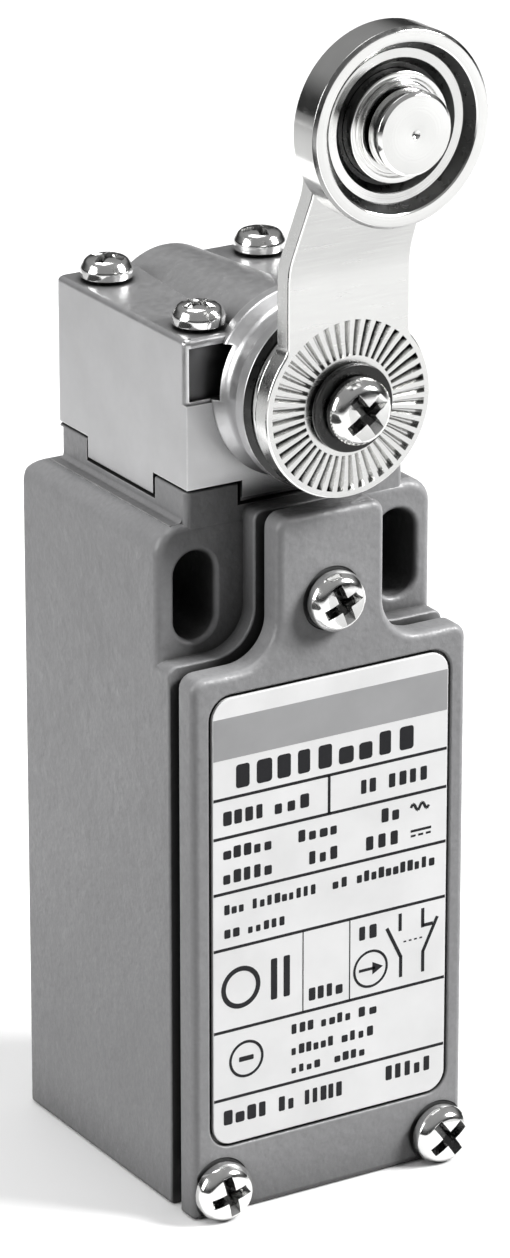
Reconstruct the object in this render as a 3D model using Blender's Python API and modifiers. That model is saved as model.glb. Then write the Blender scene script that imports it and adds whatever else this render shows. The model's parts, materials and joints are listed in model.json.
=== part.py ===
"""Limit switch with a side roller lever, built from its separate pieces.

Metres, +Z up. The origin is the middle of the back mounting face at the height of the two
mounting slots. X runs to the right, Y runs back into the wall, so the cover faces -Y.
"""

import math

import bmesh
import bpy
from mathutils import Vector

MM = 0.001
GAP = 0.3 * MM  # clearance left between pieces that touch

# Casing and cover
BODY_HALF = 15.0 * MM
BODY_BOTTOM = -60.5 * MM
SHOULDER_Z = -5.7 * MM
EAR_TOP = 7.0 * MM
EAR_CORNER = 2.5 * MM
BACK_CORNER = 2.6 * MM
BODY_CORNER = 1.0 * MM
EAR_FRONT = -25.4 * MM
RIM_FRONT = -27.33 * MM
RIM_TOP = 7.9 * MM
RIM_INSET = 0.05 * MM
RIM_ROOT = -20.0 * MM
COVER_BACK = -29.05 * MM
COVER_FRONT = -31.7 * MM
NECK_HALF = 5.8 * MM
NECK_TOP = 8.4 * MM
NECK_FLARE = 4.2 * MM
GASKET_INSET = 0.8 * MM
GASKET_TOP = 7.0 * MM
WALL = 2.2 * MM
BACK_WALL = 2.5 * MM
CAVITY_TOP = -9.0 * MM
ENTRY_RADIUS = 9.2 * MM
ENTRY_Y = -14.5 * MM
SLOT_X = 11.0 * MM
SLOT_WIDTH = 4.3 * MM
SLOT_LENGTH = 8.7 * MM

# Screws that hold the cover, as (x, z)
COVER_SCREWS = {
    "cover_screw_top": (0.0, -0.3 * MM),
    "cover_screw_left": (-12.2 * MM, -57.6 * MM),
    "cover_screw_right": (12.2 * MM, -57.6 * MM),
}
POST_RADIUS = 3.4 * MM
COVER_HOLE_END = -18.4 * MM

# Screws, each as head radius, head height, shank radius and length
COVER_SCREW = (2.95 * MM, 2.0 * MM, 1.5 * MM, 12.6 * MM)
HEAD_SCREW = (2.5 * MM, 2.0 * MM, 1.3 * MM, 19.6 * MM)
LEVER_SCREW = (3.2 * MM, 2.1 * MM, 2.0 * MM, 12.6 * MM)
BLOCK_SCREW = (2.0 * MM, 1.4 * MM, 1.2 * MM, 11.0 * MM)
TERMINAL_SCREW = (2.2 * MM, 1.6 * MM, 1.25 * MM, 11.5 * MM)
EARTH_SCREW = (2.2 * MM, 1.6 * MM, 1.2 * MM, 2.6 * MM)

# Name plate
PLATE_HALF = 12.95 * MM
PLATE_LOW = -53.2 * MM
PLATE_HIGH = -8.0 * MM
PLATE_CORNER = 2.0 * MM
PLATE_THICK = 0.3 * MM

# Castellated collar on top of the casing, and the head that stands on it
HEAD_Y = -13.5 * MM
HEAD_HALF = 11.9 * MM
COLLAR_FLOOR = 8.0 * MM
TOOTH_TOP = 10.2 * MM
TOOTH_INNER = 6.3 * MM
COLLAR_ROOT = 2.0 * MM
HEAD_TOP = 24.8 * MM
HEAD_SCREW_REACH = 8.4 * MM
HEAD_SCREW_WAY = 1.6 * MM
HEAD_SCREWS = {
    "head_screw_front_left": (-HEAD_SCREW_REACH, HEAD_Y - HEAD_SCREW_REACH),
    "head_screw_front_right": (HEAD_SCREW_REACH, HEAD_Y - HEAD_SCREW_REACH),
    "head_screw_back_left": (-HEAD_SCREW_REACH, HEAD_Y + HEAD_SCREW_REACH),
    "head_screw_back_right": (HEAD_SCREW_REACH, HEAD_Y + HEAD_SCREW_REACH),
}
AXIS_Z = 19.2 * MM
BORE = 5.6 * MM
WELL = 5.0 * MM
FLANGE_FRONT = -31.1 * MM
# The barrel from its flange back, as (radius, distance in front of the mounting face)
BARREL = (
    (7.9 * MM, -FLANGE_FRONT),
    (9.0 * MM, 30.0 * MM),
    (9.0 * MM, 29.3 * MM),
    (8.3 * MM, 28.5 * MM),
    (8.3 * MM, 27.0 * MM),
    (9.25 * MM, 25.7 * MM),
    (9.25 * MM, 24.6 * MM),
    (8.2 * MM, 24.6 * MM),
    (6.8 * MM, 1.8 * MM),
    (6.5 * MM, 1.5 * MM),
)
GASKET_GROOVE = (5.6 * MM, 8.1 * MM, 9.5 * MM)  # inner radius, outer radius, top

# Shaft, cam and lever
SHAFT = 3.0 * MM
SHAFT_STEP = 18.4 * MM
SHAFT_END = 3.2 * MM
SHAFT_HOLE = 2.3 * MM
SHAFT_HOLE_END = 22.6 * MM
JOURNAL = 2.0 * MM
DISC = 8.5 * MM
DISC_FRONT = -32.1 * MM
DISC_THICK = 0.7 * MM
CAM = 5.2 * MM
CAM_FLAT = 3.0 * MM
CLIP = 4.6 * MM
CLIP_BACK = 18.8 * MM
CLIP_THICK = 0.7 * MM
CLIP_GAP_HALF = 1.2 * MM
LEVER_BACK = -32.4 * MM
LEVER_THICK = 2.0 * MM
LEVER_JOGGLE = 3.8 * MM
LEVER_HALF = 6.5 * MM
LEVER_HUB = 8.8 * MM
LEVER_TIP = 6.0 * MM
JOGGLE_LOW = 32.9 * MM
JOGGLE_HIGH = 41.2 * MM
ROLLER_Z = 47.4 * MM
ROLLER = 9.2 * MM
ROLLER_BACK = -39.2 * MM
ROLLER_WIDTH = 3.8 * MM
ROLLER_BORE = 5.4 * MM
ROLLER_BUSH = 5.1 * MM
WASHER = 4.2 * MM
WASHER_THICK = 0.6 * MM
AXLE = 2.5 * MM
AXLE_HEAD = 3.9 * MM
AXLE_HEAD_BACK = 43.3 * MM
AXLE_FRONT = 45.2 * MM
AXLE_CHAMFER = 0.3 * MM
AXLE_WASHER = 4.6 * MM
AXLE_WASHER_THICK = 0.4 * MM
RIVET = 3.6 * MM
RIVET_END = 3.2 * MM
RIVET_THICK = 0.9 * MM

# Plunger under the cam
FOLLOWER = 4.6 * MM
FOLLOWER_HEIGHT = 3.8 * MM
FOLLOWER_SOCKET = 2.4 * MM
ROD = 1.6 * MM
PLUNGER_BORE = 3.6 * MM
PLUNGER_BORE_LOW = -12.0 * MM
SPRING_POCKET = 5.2 * MM
SPRING_SEAT = 4.5 * MM
SEAL_LOW = 3.3 * MM
SEAL_HIGH = 4.3 * MM

# Contact block
BLOCK_HALF = 11.0 * MM
BLOCK_FRONT = -24.0 * MM
BLOCK_TOP = -15.0 * MM
BLOCK_BOTTOM = -48.0 * MM
CHANNEL_HALF = 4.1 * MM
CHANNEL_BACK = -8.4 * MM
CHANNEL_FLOOR = -46.0 * MM
BLOCK_SCREW_X = 8.4 * MM
BLOCK_SCREW_Z = -44.7 * MM
BLOCK_SCREW_SEAT = -12.0 * MM
EARTH_SPOT = (-6.0 * MM, -52.2 * MM)
TAPPED = 1.5 * MM
TAPPED_END = -1.0 * MM
CARRIER_TOP = -17.8 * MM
CARRIER_BOTTOM = -39.5 * MM
BRIDGE_Y = -14.5 * MM
BRIDGE_HALF = 8.6 * MM
BRIDGE_THICK = 0.7 * MM
BRIDGE_WIDTH_HALF = 2.1 * MM
NC_BRIDGE = -21.2 * MM  # top of the bridge that is closed at rest
NO_BRIDGE = -32.7 * MM  # top of the bridge that is open at rest
CONTACT_X = 7.2 * MM
CONTACT = 1.0 * MM
TERMINAL_X = 7.0 * MM
TERMINAL_WAY = 1.55 * MM
TERMINAL_THICK = 0.6 * MM
NC_SCREW_Z = -17.3 * MM
NO_SCREW_Z = -38.9 * MM
NC_LEG = -20.5 * MM  # underside of the upper terminals' contact legs
NO_LEG = -35.3 * MM  # top of the lower terminals' contact legs
LEG_THICK = 0.8 * MM
CLAMP_THICK = 0.8 * MM

FRONT = (math.pi / 2, 0.0, 0.0)  # local +Z to -Y, local Y to +Z
SIDE = (math.pi / 2, 0.0, math.pi / 2)  # local X to +Y, local Y to +Z, local Z to +X
UP = (0.0, 0.0, 0.0)

PAINTS = {
    "casing_paint": ((0.30, 0.30, 0.31), 0.55, 0.3),
    "cast_zinc": ((0.50, 0.50, 0.51), 0.42, 0.8),
    "plated_steel": ((0.80, 0.80, 0.79), 0.22, 1.0),
    "spring_steel": ((0.55, 0.55, 0.56), 0.35, 1.0),
    "brass": ((0.78, 0.62, 0.30), 0.30, 1.0),
    "bronze": ((0.55, 0.38, 0.20), 0.40, 1.0),
    "rubber": ((0.03, 0.03, 0.03), 0.80, 0.0),
    "label": ((0.85, 0.85, 0.86), 0.40, 0.0),
    "black_plastic": ((0.05, 0.05, 0.055), 0.50, 0.0),
    "white_plastic": ((0.80, 0.80, 0.76), 0.50, 0.0),
}


def start():
    """An empty scene with one collection for the parts and one for the cutters."""
    for obj in list(bpy.data.objects):
        bpy.data.objects.remove(obj, do_unlink=True)
    made = {}
    for name in ("limit_switch", "cutters"):
        made[name] = bpy.data.collections.new(name)
        bpy.context.scene.collection.children.link(made[name])
    return made["limit_switch"], made["cutters"]


PARTS, CUTTERS = start()


def paint(name):
    """The material of this name, made on its first use."""
    found = bpy.data.materials.get(name)
    if found:
        return found
    colour, roughness, metallic = PAINTS[name]
    made = bpy.data.materials.new(name)
    made.use_nodes = True
    shader = made.node_tree.nodes["Principled BSDF"]
    shader.inputs["Base Color"].default_value = (*colour, 1.0)
    shader.inputs["Roughness"].default_value = roughness
    shader.inputs["Metallic"].default_value = metallic
    made.diffuse_color = (*colour, 1.0)
    return made


def place(name, mesh, coat=None, spot=(0.0, 0.0, 0.0), turn=UP):
    """Links a mesh as a part with its own material, or as a cutter when it has no coat."""
    obj = bpy.data.objects.new(name, mesh)
    obj.location = spot
    obj.rotation_euler = turn
    if coat:
        PARTS.objects.link(obj)
        own = paint(coat).copy()
        own.name = name + "_" + coat
        mesh.materials.append(own)
    else:
        CUTTERS.objects.link(obj)
        obj.hide_render = True
        obj.display_type = "WIRE"
    return obj


def boolean(target, operation, tools):
    for tool in tools:
        step = target.modifiers.new(tool.name, "BOOLEAN")
        step.operation = operation
        step.solver = "EXACT"
        step.object = tool


def cut(target, *tools):
    boolean(target, "DIFFERENCE", tools)


def join(target, *tools):
    boolean(target, "UNION", tools)


def box(name, low, high, coat=None, axis=None, radius=0.0):
    """A box between two corners. The edges along one axis can be rounded."""
    low = Vector(low)
    high = Vector(high)
    shape = bmesh.new()
    bmesh.ops.create_cube(shape, size=1.0)
    bmesh.ops.scale(shape, vec=high - low, verts=shape.verts)
    if radius:
        others = [i for i in range(3) if "XYZ"[i] != axis]
        edges = []
        for edge in shape.edges:
            along = edge.verts[0].co - edge.verts[1].co
            if all(abs(along[i]) < 1e-9 for i in others):
                edges.append(edge)
        bmesh.ops.bevel(shape, geom=edges, offset=radius, segments=3, profile=0.5, affect="EDGES")
    mesh = bpy.data.meshes.new(name)
    shape.to_mesh(mesh)
    shape.free()
    return place(name, mesh, coat, (low + high) / 2)


def rod(name, radius, centre, low, high, turn=UP, coat=None, sides=24):
    """A cylinder from low to high along Z, or along Y when it faces the front."""
    shape = bmesh.new()
    bmesh.ops.create_cone(
        shape, cap_ends=True, segments=sides, radius1=radius, radius2=radius, depth=high - low
    )
    mesh = bpy.data.meshes.new(name)
    shape.to_mesh(mesh)
    shape.free()
    middle = (low + high) / 2
    spot = (centre[0], centre[1], middle) if turn == UP else (centre[0], middle, centre[1])
    return place(name, mesh, coat, spot, turn)


def turned(name, profile, spot, turn=UP, coat=None, steps=24, ring=False):
    """A turned piece. The profile is (radius, height) down the outer side, closed for a ring."""
    mesh = bpy.data.meshes.new(name)
    count = len(profile)
    edges = [(i, i + 1) for i in range(count - 1)]
    if ring:
        edges.append((count - 1, 0))
    mesh.from_pydata([(r, 0.0, h) for r, h in profile], edges, [])
    obj = place(name, mesh, coat, spot, turn)
    lathe = obj.modifiers.new("lathe", "SCREW")
    lathe.axis = "Z"
    lathe.angle = 2 * math.pi
    lathe.steps = steps
    lathe.render_steps = steps
    lathe.use_merge_vertices = True
    lathe.merge_threshold = 0.00001
    lathe.use_smooth_shade = True
    return obj


def ring(name, inner, outer, spot, low, high, turn=UP, coat=None, steps=24):
    """A plain ring between two heights measured from its spot."""
    profile = [(inner, high), (outer, high), (outer, low), (inner, low)]
    return turned(name, profile, spot, turn, coat, steps, ring=True)


def arc(x, z, radius, first, last, steps=6):
    """Points of an arc, its angles in degrees from +X towards +Z."""
    angles = [math.radians(first + (last - first) * i / steps) for i in range(steps + 1)]
    return [(x + radius * math.cos(a), z + radius * math.sin(a)) for a in angles]


def circle(x, z, radius, steps=24):
    return arc(x, z, radius, 0.0, 360.0 * (steps - 1) / steps, steps - 1)


def rounded(left, low, right, high, radius, steps=4, foot=None):
    """A rectangle with round corners. The lower two can have a radius of their own."""
    foot = foot or radius
    points = arc(right - radius, high - radius, radius, 0, 90, steps)
    points += arc(left + radius, high - radius, radius, 90, 180, steps)
    points += arc(left + foot, low + foot, foot, 180, 270, steps)
    points += arc(right - foot, low + foot, foot, 270, 360, steps)
    return points


def plate(name, outlines, low, high, turn=FRONT, coat=None):
    """A flat sheet with the given outline and holes, from low to high along its normal's axis."""
    curve = bpy.data.curves.new(name, "CURVE")
    curve.dimensions = "2D"
    curve.fill_mode = "BOTH"
    curve.extrude = (high - low) / 2
    for points in outlines:
        spline = curve.splines.new("POLY")
        spline.points.add(len(points) - 1)
        for point, (x, z) in zip(spline.points, points):
            point.co = (x, z, 0.0, 1.0)
        spline.use_cyclic_u = True
    drawn = bpy.data.objects.new(name, curve)
    middle = (low + high) / 2
    drawn.location = (0.0, middle, 0.0) if turn == FRONT else (middle, 0.0, 0.0)
    drawn.rotation_euler = turn
    CUTTERS.objects.link(drawn)
    bpy.context.view_layer.update()
    evaluated = drawn.evaluated_get(bpy.context.evaluated_depsgraph_get())
    mesh = bpy.data.meshes.new_from_object(evaluated)
    where = drawn.matrix_world.copy()
    bpy.data.objects.remove(drawn, do_unlink=True)
    weld(mesh)
    mesh.materials.clear()
    obj = place(name, mesh, coat)
    obj.matrix_world = where
    return obj


def weld(mesh):
    """Joins the loose caps of a converted curve to its sides."""
    shape = bmesh.new()
    shape.from_mesh(mesh)
    bmesh.ops.remove_doubles(shape, verts=shape.verts, dist=0.000001)
    bmesh.ops.recalc_face_normals(shape, faces=shape.faces)
    shape.to_mesh(mesh)
    shape.free()


def spring(name, centre, radius, wire, low, high, turns):
    """A compression spring standing along Z. Its wire stays between low and high."""
    steps = 10
    curve = bpy.data.curves.new(name, "CURVE")
    curve.dimensions = "3D"
    curve.bevel_depth = wire
    curve.bevel_resolution = 1
    curve.use_fill_caps = True
    spline = curve.splines.new("POLY")
    spline.points.add(turns * steps)
    bottom = low + wire
    rise = high - low - 2 * wire
    for i, point in enumerate(spline.points):
        angle = 2 * math.pi * i / steps
        height = bottom + rise * i / (turns * steps)
        point.co = (radius * math.cos(angle), radius * math.sin(angle), height, 1.0)
    obj = bpy.data.objects.new(name, curve)
    obj.location = (centre[0], centre[1], 0.0)
    curve.materials.append(paint("spring_steel"))
    PARTS.objects.link(obj)
    return obj


def screw(name, spot, turn, size, drive="cross"):
    """A pan head screw. Its spot is the middle of the seat under the head, and +Z points out."""
    head, height, shank, length = size
    profile = [
        (0.0, height),
        (0.55 * head, height),
        (0.86 * head, 0.8 * height),
        (head, 0.45 * height),
        (head, 0.0),
        (shank, 0.0),
        (shank, -length),
        (0.0, -length),
    ]
    steps = 20 if drive == "cross" else 12
    obj = turned(name, profile, spot, turn, "plated_steel", steps)
    arms = [(0.62, 0.13), (0.13, 0.62)] if drive == "cross" else [(1.3, 0.16)]
    for i, (long, wide) in enumerate(arms):
        low = Vector((-long * head, -wide * head, 0.5 * height))
        high = Vector((long * head, wide * head, 1.5 * height))
        recess = box(f"{name}_recess_{i}", low, high)
        shift = recess.location.copy()
        shift.rotate(obj.rotation_euler)
        recess.location = Vector(spot) + shift
        recess.rotation_euler = turn
        cut(obj, recess)
    return obj


def keyhole(half, low, top, neck, shoulder):
    """The cover's outline: a wide lower part, flaring in to a narrow neck."""
    corner = BODY_CORNER
    right = arc(half - corner, low + corner, corner, 270, 360, 3)
    right += arc(half - corner, shoulder - corner, corner, 0, 90, 3)
    right += arc(neck + NECK_FLARE, shoulder + NECK_FLARE, NECK_FLARE, 270, 180, 8)
    right += arc(neck - corner, top - corner, corner, 0, 90, 3)
    return right + [(-x, z) for x, z in reversed(right)]


def inner_outline(inset):
    """The wiring space between the walls, passing round the two lower screw posts."""
    half = BODY_HALF - WALL - inset
    low = BODY_BOTTOM + WALL + inset
    top = CAVITY_TOP - inset
    x, z = COVER_SCREWS["cover_screw_right"]
    radius = POST_RADIUS + inset
    first = math.degrees(math.acos((half - x) / radius))
    last = 180 + math.degrees(math.asin((z - low) / radius))
    right = arc(x, z, radius, last, first, 8)
    right += [(half, top)]
    return right + [(-x, z) for x, z in reversed(right)]


def back_corner():
    """The cutter that rounds the ears' upper edge along the mounting face."""
    centre = (-BACK_CORNER, EAR_TOP - BACK_CORNER)
    side = arc(*centre, BACK_CORNER, 0.0, 90.0)
    side += [(-BACK_CORNER, EAR_TOP + GAP), (GAP, EAR_TOP + GAP), (GAP, centre[1])]
    return plate("back_corner", [side], -2 * BODY_HALF, 2 * BODY_HALF, SIDE)


def casing():
    """The die cast body: walls, mounting ears, screw posts and the collar that carries the head."""
    outline = rounded(-BODY_HALF, BODY_BOTTOM, BODY_HALF, EAR_TOP, EAR_CORNER, foot=BODY_CORNER)
    body = plate("casing", [outline], EAR_FRONT, 0.0, coat="casing_paint")
    half = BODY_HALF - RIM_INSET
    rim = keyhole(half, BODY_BOTTOM + RIM_INSET, RIM_TOP, NECK_HALF, SHOULDER_Z)
    side = HEAD_HALF - RIM_INSET
    join(
        body,
        plate("casing_rim", [rim], RIM_FRONT, RIM_ROOT),
        box("collar", (-side, HEAD_Y - side, COLLAR_ROOT), (side, HEAD_Y + side, TOOTH_TOP)),
    )
    reach = 20.0 * MM
    notch = TOOTH_INNER
    cut(
        body,
        box("notch_x", (-reach, HEAD_Y - notch, COLLAR_FLOOR), (reach, HEAD_Y + notch, reach)),
        box("notch_y", (-notch, HEAD_Y - reach, COLLAR_FLOOR), (notch, HEAD_Y + reach, reach)),
        plate("cavity", [inner_outline(0.0)], 2 * RIM_FRONT, -BACK_WALL),
        rod("spring_pocket", SPRING_POCKET, (0.0, HEAD_Y), SPRING_SEAT, reach),
        rod("plunger_bore", PLUNGER_BORE, (0.0, HEAD_Y), PLUNGER_BORE_LOW, reach),
        rod("cable_entry", ENTRY_RADIUS, (0.0, ENTRY_Y), 1.1 * BODY_BOTTOM, 0.9 * BODY_BOTTOM),
    )
    for name, x in (("slot_left", -SLOT_X), ("slot_right", SLOT_X)):
        half = SLOT_WIDTH / 2
        length = SLOT_LENGTH / 2
        outline = rounded(x - half, -length, x + half, length, half - 0.001 * MM, 6)
        cut(body, plate(name, [outline], 2 * RIM_FRONT, BACK_WALL))
    for name, spot in COVER_SCREWS.items():
        way = COVER_SCREW[2] + GAP
        cut(body, rod(name + "_hole", way, spot, 2 * RIM_FRONT, COVER_HOLE_END, FRONT, sides=16))
    for name, spot in HEAD_SCREWS.items():
        cut(body, rod(name + "_hole", HEAD_SCREW_WAY, spot, SPRING_SEAT, reach, sides=16))
    cut(body, back_corner())
    deep = -BACK_WALL - WALL
    for x in (-BLOCK_SCREW_X, BLOCK_SCREW_X):
        spot = (x, BLOCK_SCREW_Z)
        cut(body, rod("block_screw_hole", TAPPED, spot, deep, TAPPED_END, FRONT, sides=16))
    cut(body, rod("earth_hole", TAPPED, EARTH_SPOT, deep, TAPPED_END, FRONT, sides=16))


def cover():
    """The front cover with its gasket, its three screws and the name plate in a shallow recess."""
    way = COVER_SCREW[2] + GAP
    holes = [circle(x, z, way, 16) for x, z in COVER_SCREWS.values()]
    outline = keyhole(BODY_HALF, BODY_BOTTOM, NECK_TOP, NECK_HALF, SHOULDER_Z)
    lid = plate("front_cover", [outline] + holes, COVER_FRONT, COVER_BACK, coat="casing_paint")
    recess = rounded(
        -PLATE_HALF - GAP, PLATE_LOW - GAP, PLATE_HALF + GAP, PLATE_HIGH + GAP, PLATE_CORNER + GAP
    )
    back = COVER_FRONT + PLATE_THICK
    cut(lid, plate("plate_recess", [recess], 2 * COVER_FRONT, back + GAP))
    label = rounded(-PLATE_HALF, PLATE_LOW, PLATE_HALF, PLATE_HIGH, PLATE_CORNER)
    plate("name_plate", [label], COVER_FRONT, back, coat="label")
    inset = GASKET_INSET
    low = BODY_BOTTOM + inset
    seal = keyhole(BODY_HALF - inset, low, GASKET_TOP, NECK_HALF - inset, SHOULDER_Z - inset)
    plate(
        "cover_gasket",
        [seal, inner_outline(GASKET_INSET - GAP)] + holes,
        COVER_BACK + GAP,
        RIM_FRONT - GAP,
        coat="rubber",
    )
    for name, (x, z) in COVER_SCREWS.items():
        screw(name, (x, COVER_FRONT - GAP, z), FRONT, COVER_SCREW)


def head():
    """The cast head, a block with a tapering barrel and a flared flange, and its fixings."""
    low = COLLAR_FLOOR + GAP
    body = box(
        "head_housing",
        (-HEAD_HALF, HEAD_Y - HEAD_HALF, low),
        (HEAD_HALF, HEAD_Y + HEAD_HALF, HEAD_TOP),
        "cast_zinc",
        "Z",
        0.6 * MM,
    )
    barrel = [(0.0, -FLANGE_FRONT), *BARREL, (0.0, BARREL[-1][1])]
    join(body, turned("barrel", barrel, (0.0, 0.0, AXIS_Z), FRONT, steps=32))
    inner = TOOTH_INNER - GAP
    reach = 16.0 * MM
    for sx, sy in ((-1, -1), (1, -1), (-1, 1), (1, 1)):
        xs = sorted((sx * inner, sx * reach))
        ys = sorted((HEAD_Y + sy * inner, HEAD_Y + sy * reach))
        cut(body, box("tooth_space", (xs[0], ys[0], 0.0), (xs[1], ys[1], TOOTH_TOP + GAP)))
    axis = (0.0, AXIS_Z)
    middle = (0.0, HEAD_Y, 0.0)
    groove_inner, groove_outer, groove_top = GASKET_GROOVE
    cut(
        body,
        rod("shaft_bore", BORE, axis, 1.1 * FLANGE_FRONT, -2 * BACK_WALL, FRONT),
        rod("pilot_bore", JOURNAL + GAP, axis, -3 * BACK_WALL, GAP - SHAFT_END, FRONT, sides=16),
        rod("follower_well", WELL, (0.0, HEAD_Y), 0.0, AXIS_Z),
        ring("gasket_groove", groove_inner, groove_outer, middle, COLLAR_ROOT, groove_top),
    )
    ring(
        "head_gasket",
        groove_inner + GAP,
        groove_outer - GAP,
        middle,
        low,
        groove_top - GAP,
        coat="rubber",
    )
    for name, spot in HEAD_SCREWS.items():
        cut(body, rod(name + "_way", HEAD_SCREW_WAY, spot, COLLAR_ROOT, 2 * HEAD_TOP, sides=16))
        screw(name, (*spot, HEAD_TOP + GAP), UP, HEAD_SCREW)


def shaft_group():
    """The pieces on the shaft inside the head, with the bush and seal that carry it."""
    spot = (0.0, 0.0, AXIS_Z)
    disc_back = -DISC_FRONT - DISC_THICK
    profile = [
        (SHAFT_HOLE, -DISC_FRONT),
        (DISC, -DISC_FRONT),
        (DISC, disc_back),
        (SHAFT, disc_back),
        (SHAFT, SHAFT_STEP),
        (JOURNAL, SHAFT_STEP),
        (JOURNAL, SHAFT_END),
        (0.0, SHAFT_END),
        (0.0, SHAFT_HOLE_END),
        (SHAFT_HOLE, SHAFT_HOLE_END),
    ]
    moving = [turned("shaft", profile, spot, FRONT, "plated_steel", ring=True)]
    flat = math.degrees(math.acos(CAM_FLAT / CAM))
    outline = arc(0.0, AXIS_Z, CAM, flat - 90, 270 - flat, 24)
    hole = circle(0.0, AXIS_Z, JOURNAL + GAP, 16)
    moving.append(plate("cam", [outline, hole], -18.0 * MM, -9.0 * MM, coat="spring_steel"))
    front = CLIP_BACK + CLIP_THICK
    grip = SHAFT + GAP / 3
    clip = ring("shaft_circlip", grip, CLIP, spot, CLIP_BACK, front, FRONT, "spring_steel")
    low = (-CLIP_GAP_HALF, -front - GAP, AXIS_Z - 2 * CLIP)
    cut(clip, box("clip_opening", low, (CLIP_GAP_HALF, -CLIP_BACK + GAP, AXIS_Z)))
    moving.append(clip)
    inner = SHAFT + GAP
    outer = BORE - GAP
    ring("shaft_bush", inner, outer, spot, front + 0.5 * MM, 28.9 * MM, FRONT, "bronze")
    ring("shaft_seal", inner, outer, spot, 28.9 * MM + GAP, 30.8 * MM, FRONT, "rubber")
    return moving


def lever_outline():
    """The lever seen from the front: a round hub, straight sides, then a taper to the tip."""
    hub = 90 - math.degrees(math.acos(LEVER_HALF / LEVER_HUB))
    start = 90 - hub
    points = arc(0.0, AXIS_Z, LEVER_HUB, start, -180 - start, 28)
    points += [(-LEVER_HALF, JOGGLE_LOW)]
    points += arc(0.0, ROLLER_Z, LEVER_TIP, 180, 0, 12)
    points += [(LEVER_HALF, JOGGLE_LOW)]
    return points


def lever_group():
    """The cranked lever on its serrated hub, its screw and washer, and the riveted roller axle."""
    front = LEVER_BACK - LEVER_THICK
    step = LEVER_JOGGLE
    low = AXIS_Z - 12.0 * MM
    high = ROLLER_Z + 8.0 * MM
    side = [
        (front, low),
        (LEVER_BACK, low),
        (LEVER_BACK, JOGGLE_LOW),
        (LEVER_BACK - step, JOGGLE_HIGH),
        (LEVER_BACK - step, high),
        (front - step, high),
        (front - step, JOGGLE_HIGH),
        (front, JOGGLE_LOW),
    ]
    arm = plate("lever_arm", [side], -2 * LEVER_HALF, 2 * LEVER_HALF, SIDE, "plated_steel")
    shape = plate("lever_shape", [lever_outline()], 1.5 * LEVER_BACK, 0.5 * LEVER_BACK)
    boolean(arm, "INTERSECT", [shape])
    cut(
        arm,
        rod("hub_hole", SHAFT_HOLE, (0.0, AXIS_Z), 1.5 * LEVER_BACK, 0.5 * LEVER_BACK, FRONT),
        rod("axle_hole", AXLE + GAP, (0.0, ROLLER_Z), 1.5 * LEVER_BACK, 0.5 * LEVER_BACK, FRONT),
    )
    hub = (0.0, 0.0, AXIS_Z)
    back = -front + GAP
    out = back + WASHER_THICK
    washer = ring("lever_washer", SHAFT_HOLE, WASHER, hub, back, out, FRONT, "spring_steel")
    bolt = screw("lever_screw", (0.0, -out - GAP, AXIS_Z), FRONT, LEVER_SCREW)
    tip = (0.0, 0.0, ROLLER_Z)
    rivet_front = -LEVER_BACK + step - GAP
    axle_profile = [
        (0.0, AXLE_FRONT),
        (AXLE_HEAD - AXLE_CHAMFER, AXLE_FRONT),
        (AXLE_HEAD, AXLE_FRONT - AXLE_CHAMFER),
        (AXLE_HEAD, AXLE_HEAD_BACK),
        (AXLE, AXLE_HEAD_BACK),
        (AXLE, rivet_front),
        (RIVET, rivet_front),
        (RIVET_END, rivet_front - RIVET_THICK),
        (0.0, rivet_front - RIVET_THICK),
    ]
    axle = turned("roller_axle", axle_profile, tip, FRONT, "plated_steel")
    back = step - front + GAP
    out = back + AXLE_WASHER_THICK
    spacer = ring("axle_washer", AXLE + GAP, AXLE_WASHER, tip, back, out, FRONT, "spring_steel")
    return [arm, washer, bolt, axle, spacer]


def roller_group():
    """The dished steel roller and the sintered bush that it turns on."""
    tip = (0.0, 0.0, ROLLER_Z)
    back = -ROLLER_BACK
    front = back + ROLLER_WIDTH
    profile = [
        (ROLLER_BORE, front - 1.5 * MM),
        (5.9 * MM, front - 1.5 * MM),
        (6.1 * MM, front - 0.9 * MM),
        (7.4 * MM, front - 0.9 * MM),
        (8.1 * MM, front),
        (ROLLER - 0.4 * MM, front),
        (ROLLER, front - 0.4 * MM),
        (ROLLER, back + 0.4 * MM),
        (ROLLER - 0.4 * MM, back),
        (ROLLER_BORE, back),
    ]
    wheel = turned("roller", profile, tip, FRONT, "plated_steel", 36, ring=True)
    out = front - 0.5 * MM
    bush = ring("roller_bush", AXLE + GAP, ROLLER_BUSH, tip, back, out, FRONT, "spring_steel")
    return [wheel, bush]


def plunger_group():
    """The follower under the cam and the rod that carries its travel down to the contacts."""
    top = AXIS_Z - CAM - GAP
    bottom = top - FOLLOWER_HEIGHT
    spot = (0.0, HEAD_Y, 0.0)
    profile = [
        (0.0, top),
        (FOLLOWER - 0.5 * MM, top),
        (FOLLOWER, top - 0.5 * MM),
        (FOLLOWER, bottom),
        (ROD + GAP, bottom),
        (ROD + GAP, bottom + FOLLOWER_SOCKET),
        (0.0, bottom + FOLLOWER_SOCKET),
    ]
    follower = turned("cam_follower", profile, spot, UP, "spring_steel", ring=True)
    low = CARRIER_TOP + GAP
    high = bottom + FOLLOWER_SOCKET - GAP
    pin = rod("push_rod", ROD, (0.0, HEAD_Y), low, high, coat="plated_steel", sides=16)
    spring("plunger_spring", (0.0, HEAD_Y), 4.15 * MM, 0.3 * MM, SPRING_SEAT + GAP, bottom - GAP, 4)
    bore = PLUNGER_BORE - GAP
    ring("plunger_bush", ROD + GAP, bore, spot, CAVITY_TOP + GAP, SEAL_LOW - GAP, coat="bronze")
    ring("plunger_seal", ROD + GAP, bore, spot, SEAL_LOW, SEAL_HIGH, coat="rubber")
    return [follower, pin]


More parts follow.
